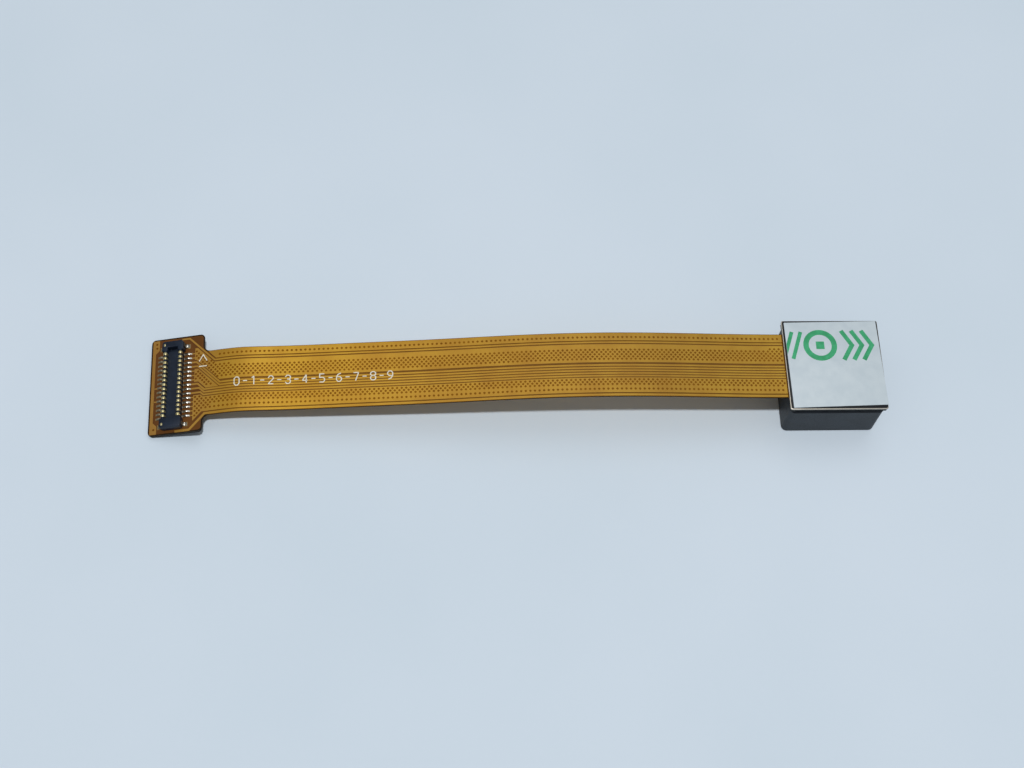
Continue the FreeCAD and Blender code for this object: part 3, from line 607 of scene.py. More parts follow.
def band_sides(points, width):
    """Both sides of a band of even width along a path. A corner moves along the mean of the
    normals of the stretches that meet there, so it is mitred, also where a closed path ends."""
    forward = np.diff(points, axis=0)
    forward /= np.linalg.norm(forward, axis=1)[:, None]
    normal = np.stack([-forward[:, 1], forward[:, 0]], -1)
    joint = np.concatenate([normal[:1], normal[:-1] + normal[1:], normal[-1:]])
    if np.allclose(points[0], points[-1]):
        joint[0] = joint[-1] = normal[0] + normal[-1]
    joint /= (joint * np.concatenate([normal[:1], normal])).sum(1)[:, None]
    return points - width / 2 * joint, points + width / 2 * joint


def line(points, width=LINE_WIDTH, low=COPPER_LOW, high=LINE_HIGH):
    """Etched line along a bent path, with stations close enough to follow the ribbon's curve."""
    points = np.asarray(points, float)
    at = np.concatenate([[0], np.cumsum(np.linalg.norm(np.diff(points, axis=0), axis=1))])
    stations = np.unique(np.concatenate([at, np.arange(0, at[-1], STATION)]))
    sides = [np.stack([np.interp(stations, at, side[:, k]) for k in (0, 1)], -1)
             for side in band_sides(points, width)]
    return between(*sides, low, high)


def area_edges(lower, upper):
    """Stations along u and the two edges of an area, each given as (u, y) corners."""
    lower, upper = np.array(lower), np.array(upper)
    start, stop = lower[0, 0], lower[-1, 0]
    u = np.unique(np.concatenate([lower[:, 0], upper[:, 0], np.arange(start, stop, STATION)]))
    return u, np.interp(u, *lower.T), np.interp(u, *upper.T)


def area(lower, upper):
    """Ground area between two edges."""
    u, low_y, high_y = area_edges(lower, upper)
    return between(np.stack([u, low_y], -1), np.stack([u, high_y], -1), COPPER_LOW, AREA_HIGH)


def openings(lower, upper, keep):
    """Centres of the openings of a hatched area: a staggered lattice over the whole circuit, kept
    where it lies clear of the area's edges and where keep(u, y) holds."""
    u_step = np.arange(-8, int((ribbon_end + 4) / HATCH_PITCH))
    rows = np.arange(-24, 24)
    y = HATCH_FIRST_Y - rows[:, None] * HATCH_ROW + 0 * u_step
    u = (u_step + 0.5 * (rows[:, None] % 2)) * HATCH_PITCH
    stations, low_y, high_y = area_edges(lower, upper)
    inside = (u > stations[0] + HATCH_MARGIN) & (u < stations[-1] - HATCH_MARGIN)
    inside &= y > np.interp(u, stations, low_y) + HATCH_MARGIN
    inside &= (y < np.interp(u, stations, high_y) - HATCH_MARGIN) & keep(u, y)
    return np.stack([u[inside], y[inside], np.zeros(inside.sum())], -1)


def repeat(shell, offsets):
    """Copies of a shell at every offset."""
    points, faces = shell
    offsets = np.asarray(offsets, float)
    shifts = np.arange(len(offsets))[:, None, None] * len(points)
    moved = (points[None] + offsets[:, None]).reshape(-1, 3)
    return moved, [(block[None] + shifts).reshape(-1, block.shape[1]) for block in faces]


end = ribbon_end - COPPER_STOP
far_area = ([(2.92, 2.83), (3.58, 2.17), (end, 2.17)], [(2.92, 2.86), (3.58, 2.86), (end, 2.86)])
wide_area = ([(1.74, 2.22), (1.88, 2.22), (3.93, 0.17), (end, 0.17)],
             [(1.74, 3.28), (1.97, 3.28), (3.43, 1.82), (end, 1.82)])
tab_area = ([(1.74, 0.20), (2.10, 0.20), (2.75, -0.45), (3.84, -0.45)],
            [(1.74, 1.38), (2.04, 1.38), (3.84, -0.42)])
near_area = ([(1.70, -3.30), (2.45, -2.55), (end, -2.55)],
             [(1.70, -1.02), (2.34, -1.02), (2.54, -1.22), (end, -1.22)])
far_corner = ([(-1.99, 3.20), (-1.70, 3.20), (-1.42, 3.48)], [(-1.99, 4.40), (-1.42, 4.40)])
near_corner = ([(-1.99, -4.13), (-1.40, -4.13)], [(-1.99, -3.10), (-1.72, -3.10), (-1.40, -3.42)])
copper = [area(*edges) for edges in (far_area, wide_area, tab_area, near_area, far_corner,
                                     near_corner)]
# Lines from the plug's feet to the ribbon, each at 45 degrees between two level stretches
for foot_y, turn_sum, line_y in zip((2.00, 1.60, 0.00, -0.40, -0.80),
                                    (3.90, 3.62, 2.06, 1.81, 1.52), LINES_Y):
    copper.append(line([(1.45, foot_y), (turn_sum - foot_y, foot_y), (turn_sum - line_y, line_y),
                        (end, line_y)]))
# Border: one strip down the outer side, and two that slant into the ribbon's far line and near
# band
copper.append(line([(0.55, 4.25), (BORDER_SUM - 4.25, 4.25), (BORDER_SUM - FAR_LINE_Y, FAR_LINE_Y),
                    (end, FAR_LINE_Y)], 0.14))
copper.append(line([(0.20, -4.05), (BORDER_SUM - 4.05, -4.05),
                    (BORDER_SUM + NEAR_BAND_Y, NEAR_BAND_Y), (end, NEAR_BAND_Y)], 0.20))
copper.append(line([(-1.86, 3.30), (-1.86, -3.20)], 0.26))
# Stubs from the border to the far feet, and from the near feet to the ground areas
for foot_y in (0.00, -1.20):
    copper.append(line([(-1.78, foot_y), (-1.42, foot_y)], 0.12))
for foot_y in (2.80, 2.40, 1.20, 0.80, 0.40, -1.20, -1.60, -2.00, -2.40, -2.80):
    copper.append(line([(1.40, foot_y), (1.80, foot_y)], 0.10))
# Rolled copper seen through the glossy amber cover film: golden, with a faint brushed drift, and
# painted sheen and shade along x from its tones
copper_skin = tone_and_sheen_along_x(finish("copper_under_polyimide", ("#C48D55", "#D09B60"), 2.2, 0.05,
                           (0.40, 0.50), 0.0005, Metallic=0.6), COPPER_SHEEN_AND_SHADE)
make_piece("circuit_copper", [bent(shell) for shell in copper], [copper_skin], "polyimide")

# An opening is a diamond with rounded corners: powers of the cosine and the sine of its turn
turn = np.arange(12) / 6 * np.pi
opening = HATCH_RADIUS * np.stack([np.cos(turn) * np.abs(np.cos(turn)) ** 0.35,
                                   np.sin(turn) * np.abs(np.sin(turn)) ** 0.35, 0 * turn], -1)
dot = loft([opening + [0, 0, OPENING_LOW], opening + [0, 0, OPENING_HIGH]])
plain_band_y = HATCH_FIRST_Y + 0.5 * HATCH_ROW
centres = np.concatenate([
    openings(*wide_area, lambda u, y: (y < plain_band_y) | (u < PLAIN_START)
             | (u > end - PLAIN_STOP)),
    openings(*tab_area, lambda u, y: u < end),
    openings(*near_area, lambda u, y: (u < NECK_U) | (y > NEAR_PLAIN_HIGH)
             | (y < NEAR_PLAIN_LOW)),
])
edge_row_u = np.arange(EDGE_ROW_START, end - EDGE_ROW_STOP, HATCH_PITCH)
edge_row = np.stack([edge_row_u, np.full_like(edge_row_u, EDGE_ROW_Y), 0 * edge_row_u], -1)
corner_dots = [(-1.66, 4.08, 0), (-1.64, 3.72, 0), (-1.64, -3.70, 0)]
# Where the copper is open the film lies on its adhesive alone, darker than the copper round it. It
# carries the film's painted sheen and shade along x
gap_skin = tone_and_sheen_along_x(finish("polyimide_over_gap", ("#7A4E0A", "#885A10"), 1.5, 0.05, (0.36, 0.48),
                        0.0005, Specular_IOR_Level=0.1))
dots = repeat(dot, np.concatenate([centres, edge_row, corner_dots]))
make_piece("circuit_openings", [bent(dots)], [gap_skin], "polyimide")

# Marks printed on the circuit
# Plain numbers in white ink along the fine lines, and an arrow and a bar beside the plug, screen
# printed over the cover film. The ink stands a little proud.
MARK_LOW_Y = -0.56
MARK_WIDTH, MARK_HEIGHT = 0.42, 0.74
MARK_STROKE = 0.085
MARK_PITCH = 0.70
MARK_FOOT, MARK_FACE = -0.006, -0.001
MARKS_FROM = 5.20
MARKS = "0-1-2-3-4-5-6-7-8-9"
# Strokes of each sign, in shares of its width and of half its height
SIGNS = {
    "-": [[(0.1, 1), (0.9, 1)]],
    "0": [[(0, 1), (0, 1.6), (0.3, 2), (0.7, 2), (1, 1.6), (1, 0.4), (0.7, 0), (0.3, 0), (0, 0.4),
           (0, 1.1)]],
    "1": [[(0.15, 1.6), (0.55, 2.05)], [(0.55, 2.05), (0.55, 0)]],
    "2": [[(0, 1.5), (0.3, 2), (0.7, 2), (1, 1.6), (1, 1.3), (0, 0.05)], [(0, 0.05), (1, 0.05)]],
    "3": [[(0, 1.6), (0.3, 2), (0.7, 2), (1, 1.7), (1, 1.3), (0.7, 1.05), (0.35, 1.05)],
          [(0.7, 1.05), (1, 0.75), (1, 0.3), (0.7, 0), (0.3, 0), (0, 0.35)]],
    "4": [[(0.75, 0), (0.75, 2)], [(0.75, 2), (0, 0.6)], [(0, 0.6), (1, 0.6)]],
    "5": [[(0.95, 2), (0.05, 2), (0.05, 1.15), (0.7, 1.15), (1, 0.85), (1, 0.3), (0.7, 0),
           (0, 0.05)]],
    "6": [[(0.85, 2), (0.3, 1.7), (0, 1.1), (0, 0.4), (0.3, 0), (0.7, 0), (1, 0.4), (1, 0.75),
           (0.7, 1.1), (0.1, 1.1)]],
    "7": [[(0, 1.97), (1, 1.97)], [(1, 1.97), (0.4, 0)]],
    "8": [[(0.3, 1.07), (0, 1.35), (0, 1.7), (0.3, 2), (0.7, 2), (1, 1.7), (1, 1.35), (0.7, 1.07),
           (0.3, 1.07), (0, 0.75), (0, 0.3), (0.3, 0), (0.7, 0), (1, 0.3), (1, 0.75),
           (0.7, 1.07)]],
    "9": [[(0.15, 0), (0.7, 0.3), (1, 0.9), (1, 1.6), (0.7, 2), (0.3, 2), (0, 1.6), (0, 1.25),
           (0.3, 0.9), (0.9, 0.9)]],
}


def inked(points):
    """Printed stroke along a path."""
    return line(points, MARK_STROKE, MARK_FOOT, MARK_FACE)


marks = []
for number, sign in enumerate(MARKS):
    for stroke in SIGNS[sign]:
        marks.append(inked(np.array(stroke) * (MARK_WIDTH, MARK_HEIGHT / 2)
                           + (MARKS_FROM + number * MARK_PITCH, MARK_LOW_Y)))
marks.append(inked([(2.12, 2.02), (2.46, 2.60), (2.80, 2.02)]))
marks.append(inked([(2.12, 1.55), (2.80, 1.55)]))
# Epoxy ink: off-white, matt, thin enough that the amber shows through a little
white_ink = finish("epoxy_ink_white", ("#CFCBB8", "#DAD8CA"), 0.4, 0.04, (0.45, 0.6), 0.001)
make_piece("printed_marks", [bent(shell) for shell in marks], [white_ink], "polyimide")

# Back of the block
# A bright stainless plate is bonded to the circuit's back. Black double-sided tape covers it, and
# the tape keeps its paper release liner, which was cut by hand and lies slightly askew.
PLATE_CORNER = 0.15
SHEET_EDGE = 0.012


def sheet_in(node, edge=0.0):
    """Flat sheet that fills a CAD node's box, with the plate's rounded corners."""
    low, high = span(node)
    return slab(ring(*(high - low)[:2], PLATE_CORNER, 0, 8)[:, :2], low[2], high[2], edge)


# Electrically conductive acrylic film, grey black
bond_film = finish("conductive_bond_film", ("#23262B", "#2B2F35"), 0.8, 0.05, (0.4, 0.55), 0.001)
make_piece("plate_bond", [sheet_in("stiffener_bond")], [bond_film], "bond_film", "stiffener_bond")
# Austenitic stainless sheet, rolled bright and punched: pale warm grey metal
stainless = finish("stainless_rolled", ("#A39E94", "#B3AEA4"), 0.9, 0.04, (0.42, 0.52), 0.0006,
                   Metallic=1.0)
make_piece("steel_plate", [sheet_in("head_stiffener", SHEET_EDGE)], [stainless], "stainless",
           "head_stiffener")
# Acrylic foam tape, black, slightly tacky and satin at the cut
black_tape = finish("acrylic_tape_black", ("#0B0D10", "#13161A"), 0.6, 0.06, (0.5, 0.6), 0.003,
                    Specular_IOR_Level=0.25)
make_piece("backing_tape", [sheet_in("back_adhesive", SHEET_EDGE)], [black_tape], "black_tape",
           "back_adhesive")

# Release liner and its print
# Bleached kraft paper with a silicone coat, guillotined with the tape. The print is a plain green
# pattern that runs off the cut edges, as a roll's repeat does.
LINER_CORNER = 0.05
LINER_EDGE = 0.008
INK_HALF = 0.003
PRINT_SHARE = 0.996
# How far each corner lies inside the plate's, round from the near one on the plug's side
LINER_INSETS = ((0.23, 0.08), (0.01, 0.30), (0.18, 0.11), (0.17, 0.24))
liner_low, liner_high = span("release_liner")
plate_half = (span("head_stiffener")[1] - span("head_stiffener")[0])[:2] / 2
liner_corners = (plate_half - LINER_INSETS) * [(-1, -1), (1, -1), (1, 1), (-1, 1)]


def softened(corners, radius):
    """Outline with small rounded corners: each is a quadratic curve between two points set back
    from it by the radius, with the corner as its middle control point."""
    before, after = np.roll(corners, 1, 0) - corners, np.roll(corners, -1, 0) - corners
    first = corners + radius * before / np.linalg.norm(before, axis=1)[:, None]
    last = corners + radius * after / np.linalg.norm(after, axis=1)[:, None]
    t = np.linspace(0, 1, 5)[None, :, None]
    rounded = ((1 - t) ** 2 * first[:, None] + 2 * t * (1 - t) * corners[:, None]
               + t ** 2 * last[:, None])
    return rounded.reshape(-1, 2)


# Silicone-coated paper: bluish white, satin, with a faint cloud of fibres
liner_paper = finish("liner_paper_silicone", ("#B4C0C7", "#BBC6CC"), 0.9, 0.07, (0.42, 0.54),
                     0.0012, Specular_IOR_Level=0.35)
liner_sheet = slab(softened(liner_corners, LINER_CORNER), liner_low[2], liner_high[2], LINER_EDGE)
make_piece("paper_liner", [liner_sheet], [liner_paper], "liner_paper", "release_liner")


def clipped(outline):
    """Part of a convex outline that lies on the liner, a little inside its cut edges. Each edge of
    the liner cuts the outline where it crosses."""
    inner = liner_corners * PRINT_SHARE
    for k in range(4):
        start, stop = inner[k], inner[(k + 1) % 4]
        side = np.array([-(stop - start)[1], (stop - start)[0]])
        depth = (outline - start) @ side
        kept = []
        for i in range(len(outline)):
            j = (i + 1) % len(outline)
            if depth[i] >= 0:
                kept.append(outline[i])
            if depth[i] * depth[j] < 0:
                share = depth[i] / (depth[i] - depth[j])
                kept.append(outline[i] + (outline[j] - outline[i]) * share)
        outline = np.array(kept)
    return outline


def green_band(points, width):
    """Printed band along an open or closed path, as a run of four-cornered fields that the cut
    edges of the liner may clip."""
    right, left = band_sides(np.asarray(points, float), width)
    fields = [clipped(np.array([left[i], right[i], right[i + 1], left[i + 1]]))
              for i in range(len(points) - 1)]
    return [slab(field, liner_high[2] - INK_HALF, liner_high[2] + INK_HALF)
            for field in fields if len(field) > 2]


def arc_points(centre, radius, first, last, count):
    """Points of an arc between two angles in degrees."""
    turn = np.radians(np.linspace(first, last, count))
    return np.stack([centre[0] + radius * np.cos(turn), centre[1] + radius * np.sin(turn)], -1)


print_fields = green_band(arc_points((-1.05, 1.70), 1.20, 0, 360, 41), 0.46)
print_fields += green_band([(-1.40, 1.70), (-0.70, 1.70)], 0.70)
for shift in (0.0, 0.85, 1.70):
    print_fields += green_band([(0.85 + shift, 3.05), (1.65 + shift, 1.70), (0.85 + shift, 0.35)],
                               0.38)
for shift in (0.0, 0.75):
    print_fields += green_band([(-4.20 + shift, 0.45), (-3.35 + shift, 2.95)], 0.32)
# Flexographic ink: mid green, thin and uneven
green_ink = finish("flexo_ink_green", ("#178A57", "#2A9C68"), 0.5, 0.05, (0.40, 0.55), 0.0008)
make_piece("liner_print", print_fields, [green_ink], "liner_paper")

# Stiffener under the tab
# A plate of dark glass-epoxy laminate is bonded behind the tab, so that the plug can be pressed
# home. It has the tab's outline but stops short of the neck.
STIFFENER = 0.20
TAB_BOND = 0.03
BACKING_SETBACK = 0.08
BACKING_EDGE = 0.02
backing_length = TAB_OUTER + TAB_INNER - BACKING_SETBACK
backing_outline = ring(backing_length, TAB_FAR + TAB_NEAR, TAB_CORNER, 0, 8)[:, :2]
backing_outline = backing_outline + [(TAB_INNER - BACKING_SETBACK - TAB_OUTER) / 2,
                                     (TAB_FAR - TAB_NEAR) / 2]
# Glass-epoxy laminate, black and sawn, with a faint weave of glass at 0.3 mm
tab_laminate = finish("glass_epoxy_black", ("#120F0C", "#1C1712"), 0.3, 0.05, (0.45, 0.6), 0.002,
                      Specular_IOR_Level=0.1)
make_piece("tab_backing", [bent(slab(backing_outline, -FILM_THICKNESS - TAB_BOND - STIFFENER,
                                     -FILM_THICKNESS - TAB_BOND, BACKING_EDGE))],
           [tab_laminate], "tab_laminate", "tab_stiffener")
make_piece("tab_glue", [bent(slab(backing_outline, -FILM_THICKNESS - TAB_BOND, -FILM_THICKNESS))],
           [bond_film], "bond_film", "tab_bond")

# Plug body
# Moulded in black liquid crystal polymer: a floor, two side walls with a rib between every two
# contacts, and an end block at each end. The far block has a pocket that guides the mating half.
CONTACTS = 15
CONTACT_PITCH = 0.40
ROW_X = 0.65
STAND_OFF = 0.03
PLUG_TOP = 0.68
ARCH_Z = 0.53
RIB_HALF, WALL_HALF, RIB_STEP = 0.15, 0.10, 0.012
CONTACT_GAP_HALF = 0.12
BLOCK_START, BLOCK_END = 3.06, 3.90
BLOCK_HALF = 0.92
BLOCK_CORNER = 0.22
BLOCK_EDGE = 0.04
POCKET_HALF, POCKET_END = 0.45, 3.36
FLOOR_TOP = 0.28
POCKET_FLOOR = 0.10
contact_y = (np.arange(CONTACTS) - (CONTACTS - 1) / 2) * CONTACT_PITCH


def side_wall(x):
    """Side wall along y. Its section is two upright sides and a half-round top of the same half
    thickness, which steps down from rib to seat at each contact."""
    gap = CONTACT_GAP_HALF
    seats = np.stack([contact_y - gap - RIB_STEP, contact_y - gap,
                      contact_y + gap, contact_y + gap + RIB_STEP], -1)
    stations = np.concatenate([[-BLOCK_START], seats.ravel(), [BLOCK_START]])
    halves = np.concatenate([[RIB_HALF], np.tile([RIB_HALF, WALL_HALF, WALL_HALF, RIB_HALF],
                                                 CONTACTS), [RIB_HALF]])
    turn = np.radians(np.linspace(0, 180, 11))
    across = np.concatenate([[1.0], np.cos(turn), [-1.0]])
    rise = np.concatenate([[0.0], np.sin(turn), [0.0]])
    rings = np.stack([x + halves[:, None] * across, stations[:, None] + 0 * across,
                      ARCH_Z + halves[:, None] * rise], -1)
    rings[:, [0, -1], 2] = STAND_OFF
    return loft(rings)


def block_outline(pocket_end):
    """Plan of the end block in +y: rounded outer corners, and a pocket let into its inner side."""
    corner = arc_points((BLOCK_HALF - BLOCK_CORNER, BLOCK_END - BLOCK_CORNER), BLOCK_CORNER,
                        0, 90, 7)
    inner = [(-BLOCK_HALF, BLOCK_START)]
    if pocket_end > BLOCK_START:
        inner += [(-POCKET_HALF, BLOCK_START), (-POCKET_HALF, pocket_end),
                  (POCKET_HALF, pocket_end), (POCKET_HALF, BLOCK_START)]
    return np.concatenate([corner, corner[::-1] * [-1, 1], inner, [(BLOCK_HALF, BLOCK_START)]])


def floor_plate(half, first, last, top):
    """Rectangular floor from y first to y last, of that half width."""
    return slab([(-half, first), (half, first), (half, last), (-half, last)], STAND_OFF, top)


plug_body = [side_wall(-ROW_X), side_wall(ROW_X),
             slab(block_outline(POCKET_END), STAND_OFF, PLUG_TOP, BLOCK_EDGE),
             slab((block_outline(BLOCK_START) * [1, -1])[::-1], STAND_OFF, PLUG_TOP, BLOCK_EDGE),
             floor_plate(0.70, -3.1, 3.1, FLOOR_TOP), floor_plate(0.5, 3.0, 3.5, POCKET_FLOOR)]
# Liquid crystal polymer, moulded: blue black, satin, with a faint flow grain
plug_plastic = finish("lcp_navy_black", ("#101927", "#172232"), 0.8, 0.04, (0.38, 0.50), 0.0015,
                      Specular_IOR_Level=0.35)
make_piece("plug_body", [bent(shell) for shell in plug_body], [plug_plastic], "plug_plastic",
           "connector_housing")

# Plug contacts and hold-downs
# Each contact is a strip of phosphor bronze, formed over the side wall and plated with gold: a
# foot on its pad, a leg, a round head that the mating half wipes, and a short free end. A nail at
# each corner holds the body down.
STRIP_HALF = 0.035
FOOT_END = 1.32
LEG_X = 0.785
BEND = 0.095
BEND_GAP = 0.02
HEAD_RADIUS = 0.135
HEAD_FOOT_Z = ARCH_Z - 0.04
FREE_END_Z = 0.33
SECTION_POINTS = 12


def swept(path, half_width):
    """Flat strip carried along a path in the cross-section. Its section is a superellipse, signed
    roots of cosine and sine, set across the path's normal."""
    forward = np.gradient(path, axis=0)
    forward /= np.linalg.norm(forward, axis=1)[:, None]
    normal = np.stack([-forward[:, 1], forward[:, 0]], -1)
    turn = (np.arange(SECTION_POINTS) + 0.5) / SECTION_POINTS * 2 * np.pi
    wide = np.sign(np.cos(turn)) * np.abs(np.cos(turn)) ** 0.5
    thick = np.sign(np.sin(turn)) * np.abs(np.sin(turn)) ** 0.5
    place = path[:, None] + normal[:, None] * (STRIP_HALF * thick)[:, None]
    across = half_width[:, None] * wide
    return loft(np.stack([place[..., 0], across, place[..., 1]], -1))


def foot_path(end, leg_x, count):
    """Path of a flat foot from its end inwards, and of the quarter bend up into its leg."""
    z = STAND_OFF + STRIP_HALF
    foot = np.stack([np.linspace(end, leg_x + BEND + BEND_GAP, count), np.full(count, z)], -1)
    return np.concatenate([foot, arc_points((leg_x + BEND, z + BEND), BEND, 270, 180, 6)])


def upright(x, first, last, count):
    """Path of a straight stretch across the tab's height."""
    return np.stack([np.full(count, x), np.linspace(first, last, count)], -1)


def both_rows(*shells):
    """Shells in their place on the tab, each followed by its copy that is turned half round about
    the plug's middle."""
    return [bent((points * way, faces)) for points, faces in shells
            for way in ((1, 1, 1), (-1, -1, 1))]


contact_path = np.concatenate([
    foot_path(FOOT_END, LEG_X, 5),
    upright(LEG_X, 0.24, HEAD_FOOT_Z, 3),
    arc_points((ROW_X, ARCH_Z), HEAD_RADIUS, 0, 180, 15),
    upright(ROW_X - HEAD_RADIUS, HEAD_FOOT_Z, FREE_END_Z, 4),
])
# Half width by height over the tab: waisted at the leg, widest over the head
contact_half = np.interp(contact_path[:, 1], [0.1, 0.3, 0.5, 0.62], [0.100, 0.090, 0.100, 0.112])
contact_half[-3:] = (0.095, 0.085, 0.055)
contact_half[0] = 0.085
offsets = np.stack([0 * contact_y, contact_y, 0 * contact_y], -1)
row = repeat(swept(contact_path, contact_half), offsets)
# Hard gold over nickel on phosphor bronze: pale yellow, wiped smooth
plug_gold = finish("gold_plated_contact", ("#CDC08C", "#D9CFA2"), 0.25, 0.03, (0.42, 0.54), 0.0008,
                   Metallic=1.0)
# Between head and foot the contacts and nails take a dark grey metal finish, as painted shade on
# the legs that lie in shadow
leg_painted_shade = finish("leg_metal_painted_shade", ("#6C675C", "#7B756A"), 0.25, 0.03, (0.35, 0.48), 0.0008,
                     Metallic=1.0)
LEG_SHADE_LOW, LEG_SHADE_HIGH = 0.085, 0.45


def second_finish(piece, where):
    """Give a piece's second material to its faces where a rule holds. The rule is told how far
    each face's centre lies along the tab from the plug's middle, and how high over the tab."""
    centres = np.empty(3 * len(piece.data.polygons))
    piece.data.polygons.foreach_get("center", centres)
    centres = centres.reshape(-1, 3) / MM - [tab_origin[0], 0, tab_origin[1]]
    out = centres[:, 0] * along[0] + centres[:, 2] * along[1]
    rise = centres[:, 2] * along[0] - centres[:, 0] * along[1]
    piece.data.polygons.foreach_set("material_index", where(out, rise).astype(np.int32))


def on_legs(top):
    """Rule for the painted shade on the legs: over the foot, below a top height, and outside the
    rows' middle.
    """
    return lambda out, rise: (rise > LEG_SHADE_LOW) & (rise < top) & (np.abs(out) > ROW_X)


second_finish(make_piece("plug_contacts", both_rows(row), [plug_gold, leg_painted_shade], "gold",
                         "connector_contacts"), on_legs(LEG_SHADE_HIGH))
NAIL_X = BLOCK_HALF + STRIP_HALF
NAIL_END = 1.20
NAIL_Y = 3.53
NAIL_HALF = 0.17
NAIL_TOP = 0.50
nail_path = np.concatenate([foot_path(NAIL_END, NAIL_X, 4), upright(NAIL_X, 0.22, 0.48, 4)])
nail_half = np.full(len(nail_path), NAIL_HALF)
nail_half[[0, -1]] = (0.14, 0.13)
nail_places = np.array([(0, -NAIL_Y, 0), (0, NAIL_Y, 0)])
nails = repeat(swept(nail_path, nail_half), nail_places)
# The outer nails' upper ends come out of the blocks' top as small plated tips
TIP_LENGTH, TIP_WIDTH, TIP_CORNER = 0.17, 0.24, 0.06
TIP_SUNK, TIP_PROUD = 0.03, 0.02
TIP_X, TIP_Y = -0.69, 3.58
tip = slab(ring(TIP_LENGTH, TIP_WIDTH, TIP_CORNER, 0, 4)[:, :2], PLUG_TOP - TIP_SUNK,
           PLUG_TOP + TIP_PROUD, TIP_PROUD)
tips = repeat(tip, [(TIP_X, -TIP_Y, 0), (TIP_X, TIP_Y, 0)])
second_finish(make_piece("plug_nails", both_rows(nails) + [bent(tips)], [plug_gold, leg_painted_shade],
                         "gold", "connector_hold_downs"), on_legs(NAIL_TOP))

# Solder joints and their pads
# Every foot sits in tin-silver solder on a gold-finished pad. The solder was melted from paste and
# drew itself up round the foot's end in a bright, smooth heap. The row towards -x is drawn duller
# and darker as painted shade, since its heaps face away from the light.
JOINT_X, NAIL_JOINT_X = 1.25, 1.07
JOINT_LIFT, JOINT_SUNK = 0.002, 0.012
# Half length, half width, height and lean of the solder on a contact's foot and on a nail's
JOINT, NAIL_JOINT = (0.22, 0.112, 0.15, -0.10), (0.20, 0.19, 0.17, -0.04)
# Where a pad starts and stops along the foot, and its half width
FOOT_PAD, NAIL_PAD = (1.08, 1.50, 0.095), (0.95, 1.32, 0.20)
PAD_LOW, PAD_HIGH = -0.018, -0.002


def fillet(half_x, half_y, height, lean):
    """Heap of solder along a foot. At shares a and b of its half length and half width it is
    height * (1 - a^2) * (1 - b^4)^0.5 high, and its top leans along x by lean * (1 - a^2)."""
    a = np.linspace(-1, 1, 13)[:, None]
    b = np.sin(np.radians(np.linspace(-90, 90, 13)))
    x = half_x * a + lean * (1 - a ** 2) + 0 * b
    y = half_y * (1 - 0.35 * a ** 2) * b
    z = height * (1 - a ** 2) * (1 - b ** 4) ** 0.5 + JOINT_LIFT
    foot = np.column_stack([x[:, :1], y[:, -1:], 0 * x[:, :1] - JOINT_SUNK])
    return loft(np.stack([np.column_stack([x, foot[:, 0], x[:, 0]]),
                          np.column_stack([y, foot[:, 1], y[:, 0]]),
                          np.column_stack([z, foot[:, 2], foot[:, 2]])], -1))


joints = repeat(fillet(*JOINT), offsets + [JOINT_X, 0, 0])
nail_joints = repeat(fillet(*NAIL_JOINT), nail_places + [NAIL_JOINT_X, 0, 0])
# Tin-silver-copper solder, reflowed: bright silver white with a soft skin
solder = finish("tin_solder_reflowed", ("#BFBCB2", "#D0CEC5"), 0.2, 0.03, (0.20, 0.30), 0.001,
                Metallic=1.0)
# The same solder, duller and darker: painted shade for the heaps that face away from the light
solder_painted_shade = finish("tin_solder_painted_shade", ("#857B66", "#948A74"), 0.2, 0.03, (0.48, 0.62),
                       0.001, Metallic=0.7)
second_finish(make_piece("solder_heaps", both_rows(joints, nail_joints), [solder, solder_painted_shade],
                         "solder", "solder_joints"), lambda out, rise: out < 0)


def pad_under(first, last, half, places):
    """Pads on the film at every place, from first to last along the foot."""
    edges = [np.array([(first, y), (last, y)]) for y in (-half, half)]
    return repeat(between(*edges, PAD_LOW, PAD_HIGH), places)


# Immersion gold over nickel, dull where flux has dried
pad_gold = finish("immersion_gold_pad", ("#A88C55", "#B89C66"), 0.3, 0.04, (0.35, 0.5), 0.001,
                  Metallic=0.9)
make_piece("solder_pads", both_rows(pad_under(*FOOT_PAD, offsets),
                                    pad_under(*NAIL_PAD, nail_places)), [pad_gold], "gold")

# Floor, light and camera
# A plain pale table, one small lamp nearly overhead on the viewer's side, a large soft box beyond
# the part and a pale sky. The camera stands where the photograph was taken from.
FLOOR_SIZE, FLOOR_Z = 3.0, -0.00001
floor_mesh = bpy.data.meshes.new("floor")
floor_mesh.from_pydata([(x * FLOOR_SIZE, y * FLOOR_SIZE, FLOOR_Z)
                        for x, y in ((-1, -1), (1, -1), (1, 1), (-1, 1))], [], [(0, 1, 2, 3)])
floor = bpy.data.objects.new("floor", floor_mesh)
bpy.context.scene.collection.objects.link(floor)
floor_paint = finish("table_pale", ("#C3D0DB", "#C7D3DE"), 30.0, 0.5, (0.75, 0.85), 0.001)
floor_mesh.materials.append(floor_paint)
floor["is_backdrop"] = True

SKY_LOW, SKY_HIGH = 0.06, 0.44
sky = bpy.data.worlds.new("sky")
bpy.context.scene.world = sky
sky.use_nodes = True
sky.node_tree.nodes.clear()
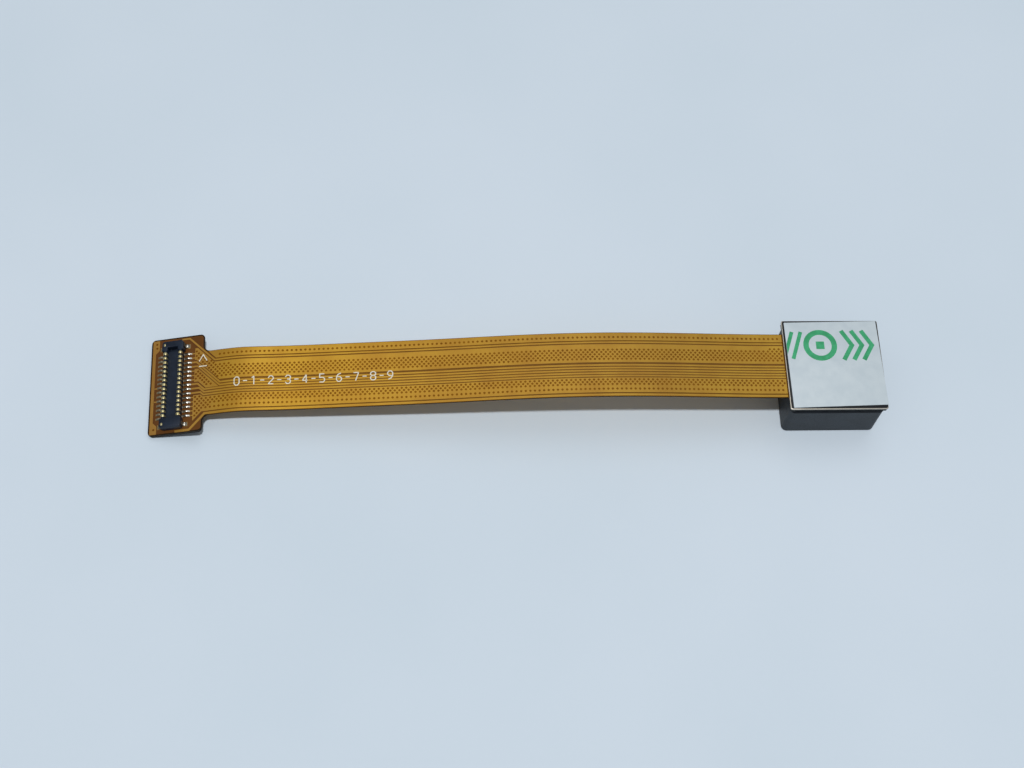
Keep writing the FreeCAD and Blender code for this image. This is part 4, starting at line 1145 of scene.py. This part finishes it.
# Pale overhead, darker towards the horizon
sky_way = add(sky, "ShaderNodeSeparateXYZ",
              {"Vector": add(sky, "ShaderNodeTexCoord").outputs["Generated"]})
sky_glow = add(sky, "ShaderNodeMapRange", {"Value": sky_way.outputs["Z"], "To Min": SKY_LOW,
                                           "To Max": SKY_HIGH})
sky_light = add(sky, "ShaderNodeBackground", {"Color": colour("#F2F6FA"),
                                              "Strength": sky_glow.outputs["Result"]})
add(sky, "ShaderNodeOutputWorld", {"Surface": sky_light.outputs["Background"]})
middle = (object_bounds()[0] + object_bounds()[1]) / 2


def round_lamp(name, way, distance, size, share):
    """Disc lamp that faces the part from a direction. Its share is the light that it sheds on a
    surface facing it, as a part of an even sky's of strength one, so power = share *
    (pi * distance)^2."""
    data = bpy.data.lights.new(name, "AREA")
    data.shape = "DISK"
    data.size = size
    data.energy = share * (math.pi * distance) ** 2
    lamp = bpy.data.objects.new(name, data)
    bpy.context.scene.collection.objects.link(lamp)
    way = Vector(way).normalized()
    lamp.location = middle + way * distance
    lamp.rotation_mode = "QUATERNION"
    lamp.rotation_quaternion = way.to_track_quat("Z", "Y")


round_lamp("lamp", (-0.01, -0.20, 1.0), 0.60, 0.030, 0.655)
round_lamp("soft_box", (0.16, 0.46, 1.0), 0.60, 0.42, 0.13)

CAMERA_FOCAL = 61.888
CAMERA_TARGET = np.array([-26.569, 0.502, 0.0])
CAMERA_DISTANCE = 148.627
CAMERA_HEIGHT, CAMERA_YAW, CAMERA_ROLL = np.radians([64.622, -11.041, 9.672])
back = np.array([math.sin(CAMERA_YAW) * math.cos(CAMERA_HEIGHT),
                 -math.cos(CAMERA_YAW) * math.cos(CAMERA_HEIGHT), math.sin(CAMERA_HEIGHT)])
level = np.array([math.cos(CAMERA_YAW), math.sin(CAMERA_YAW), 0.0])
upward = np.cross(back, level)
right = math.cos(CAMERA_ROLL) * level + math.sin(CAMERA_ROLL) * upward
upward = np.cross(back, right)
camera_data = bpy.data.cameras.new("camera")
camera_data.lens = CAMERA_FOCAL
camera_data.sensor_width = 36
camera_data.clip_start = 0.001
camera = bpy.data.objects.new("camera", camera_data)
bpy.context.scene.collection.objects.link(camera)
axes = np.column_stack([right, upward, back])
camera.rotation_mode = "QUATERNION"
camera.rotation_quaternion = Matrix(axes.tolist()).to_quaternion()
camera.location = (CAMERA_TARGET + back * CAMERA_DISTANCE) * MM
bpy.context.scene.camera = camera
bpy.context.scene.view_settings.view_transform = "Standard"
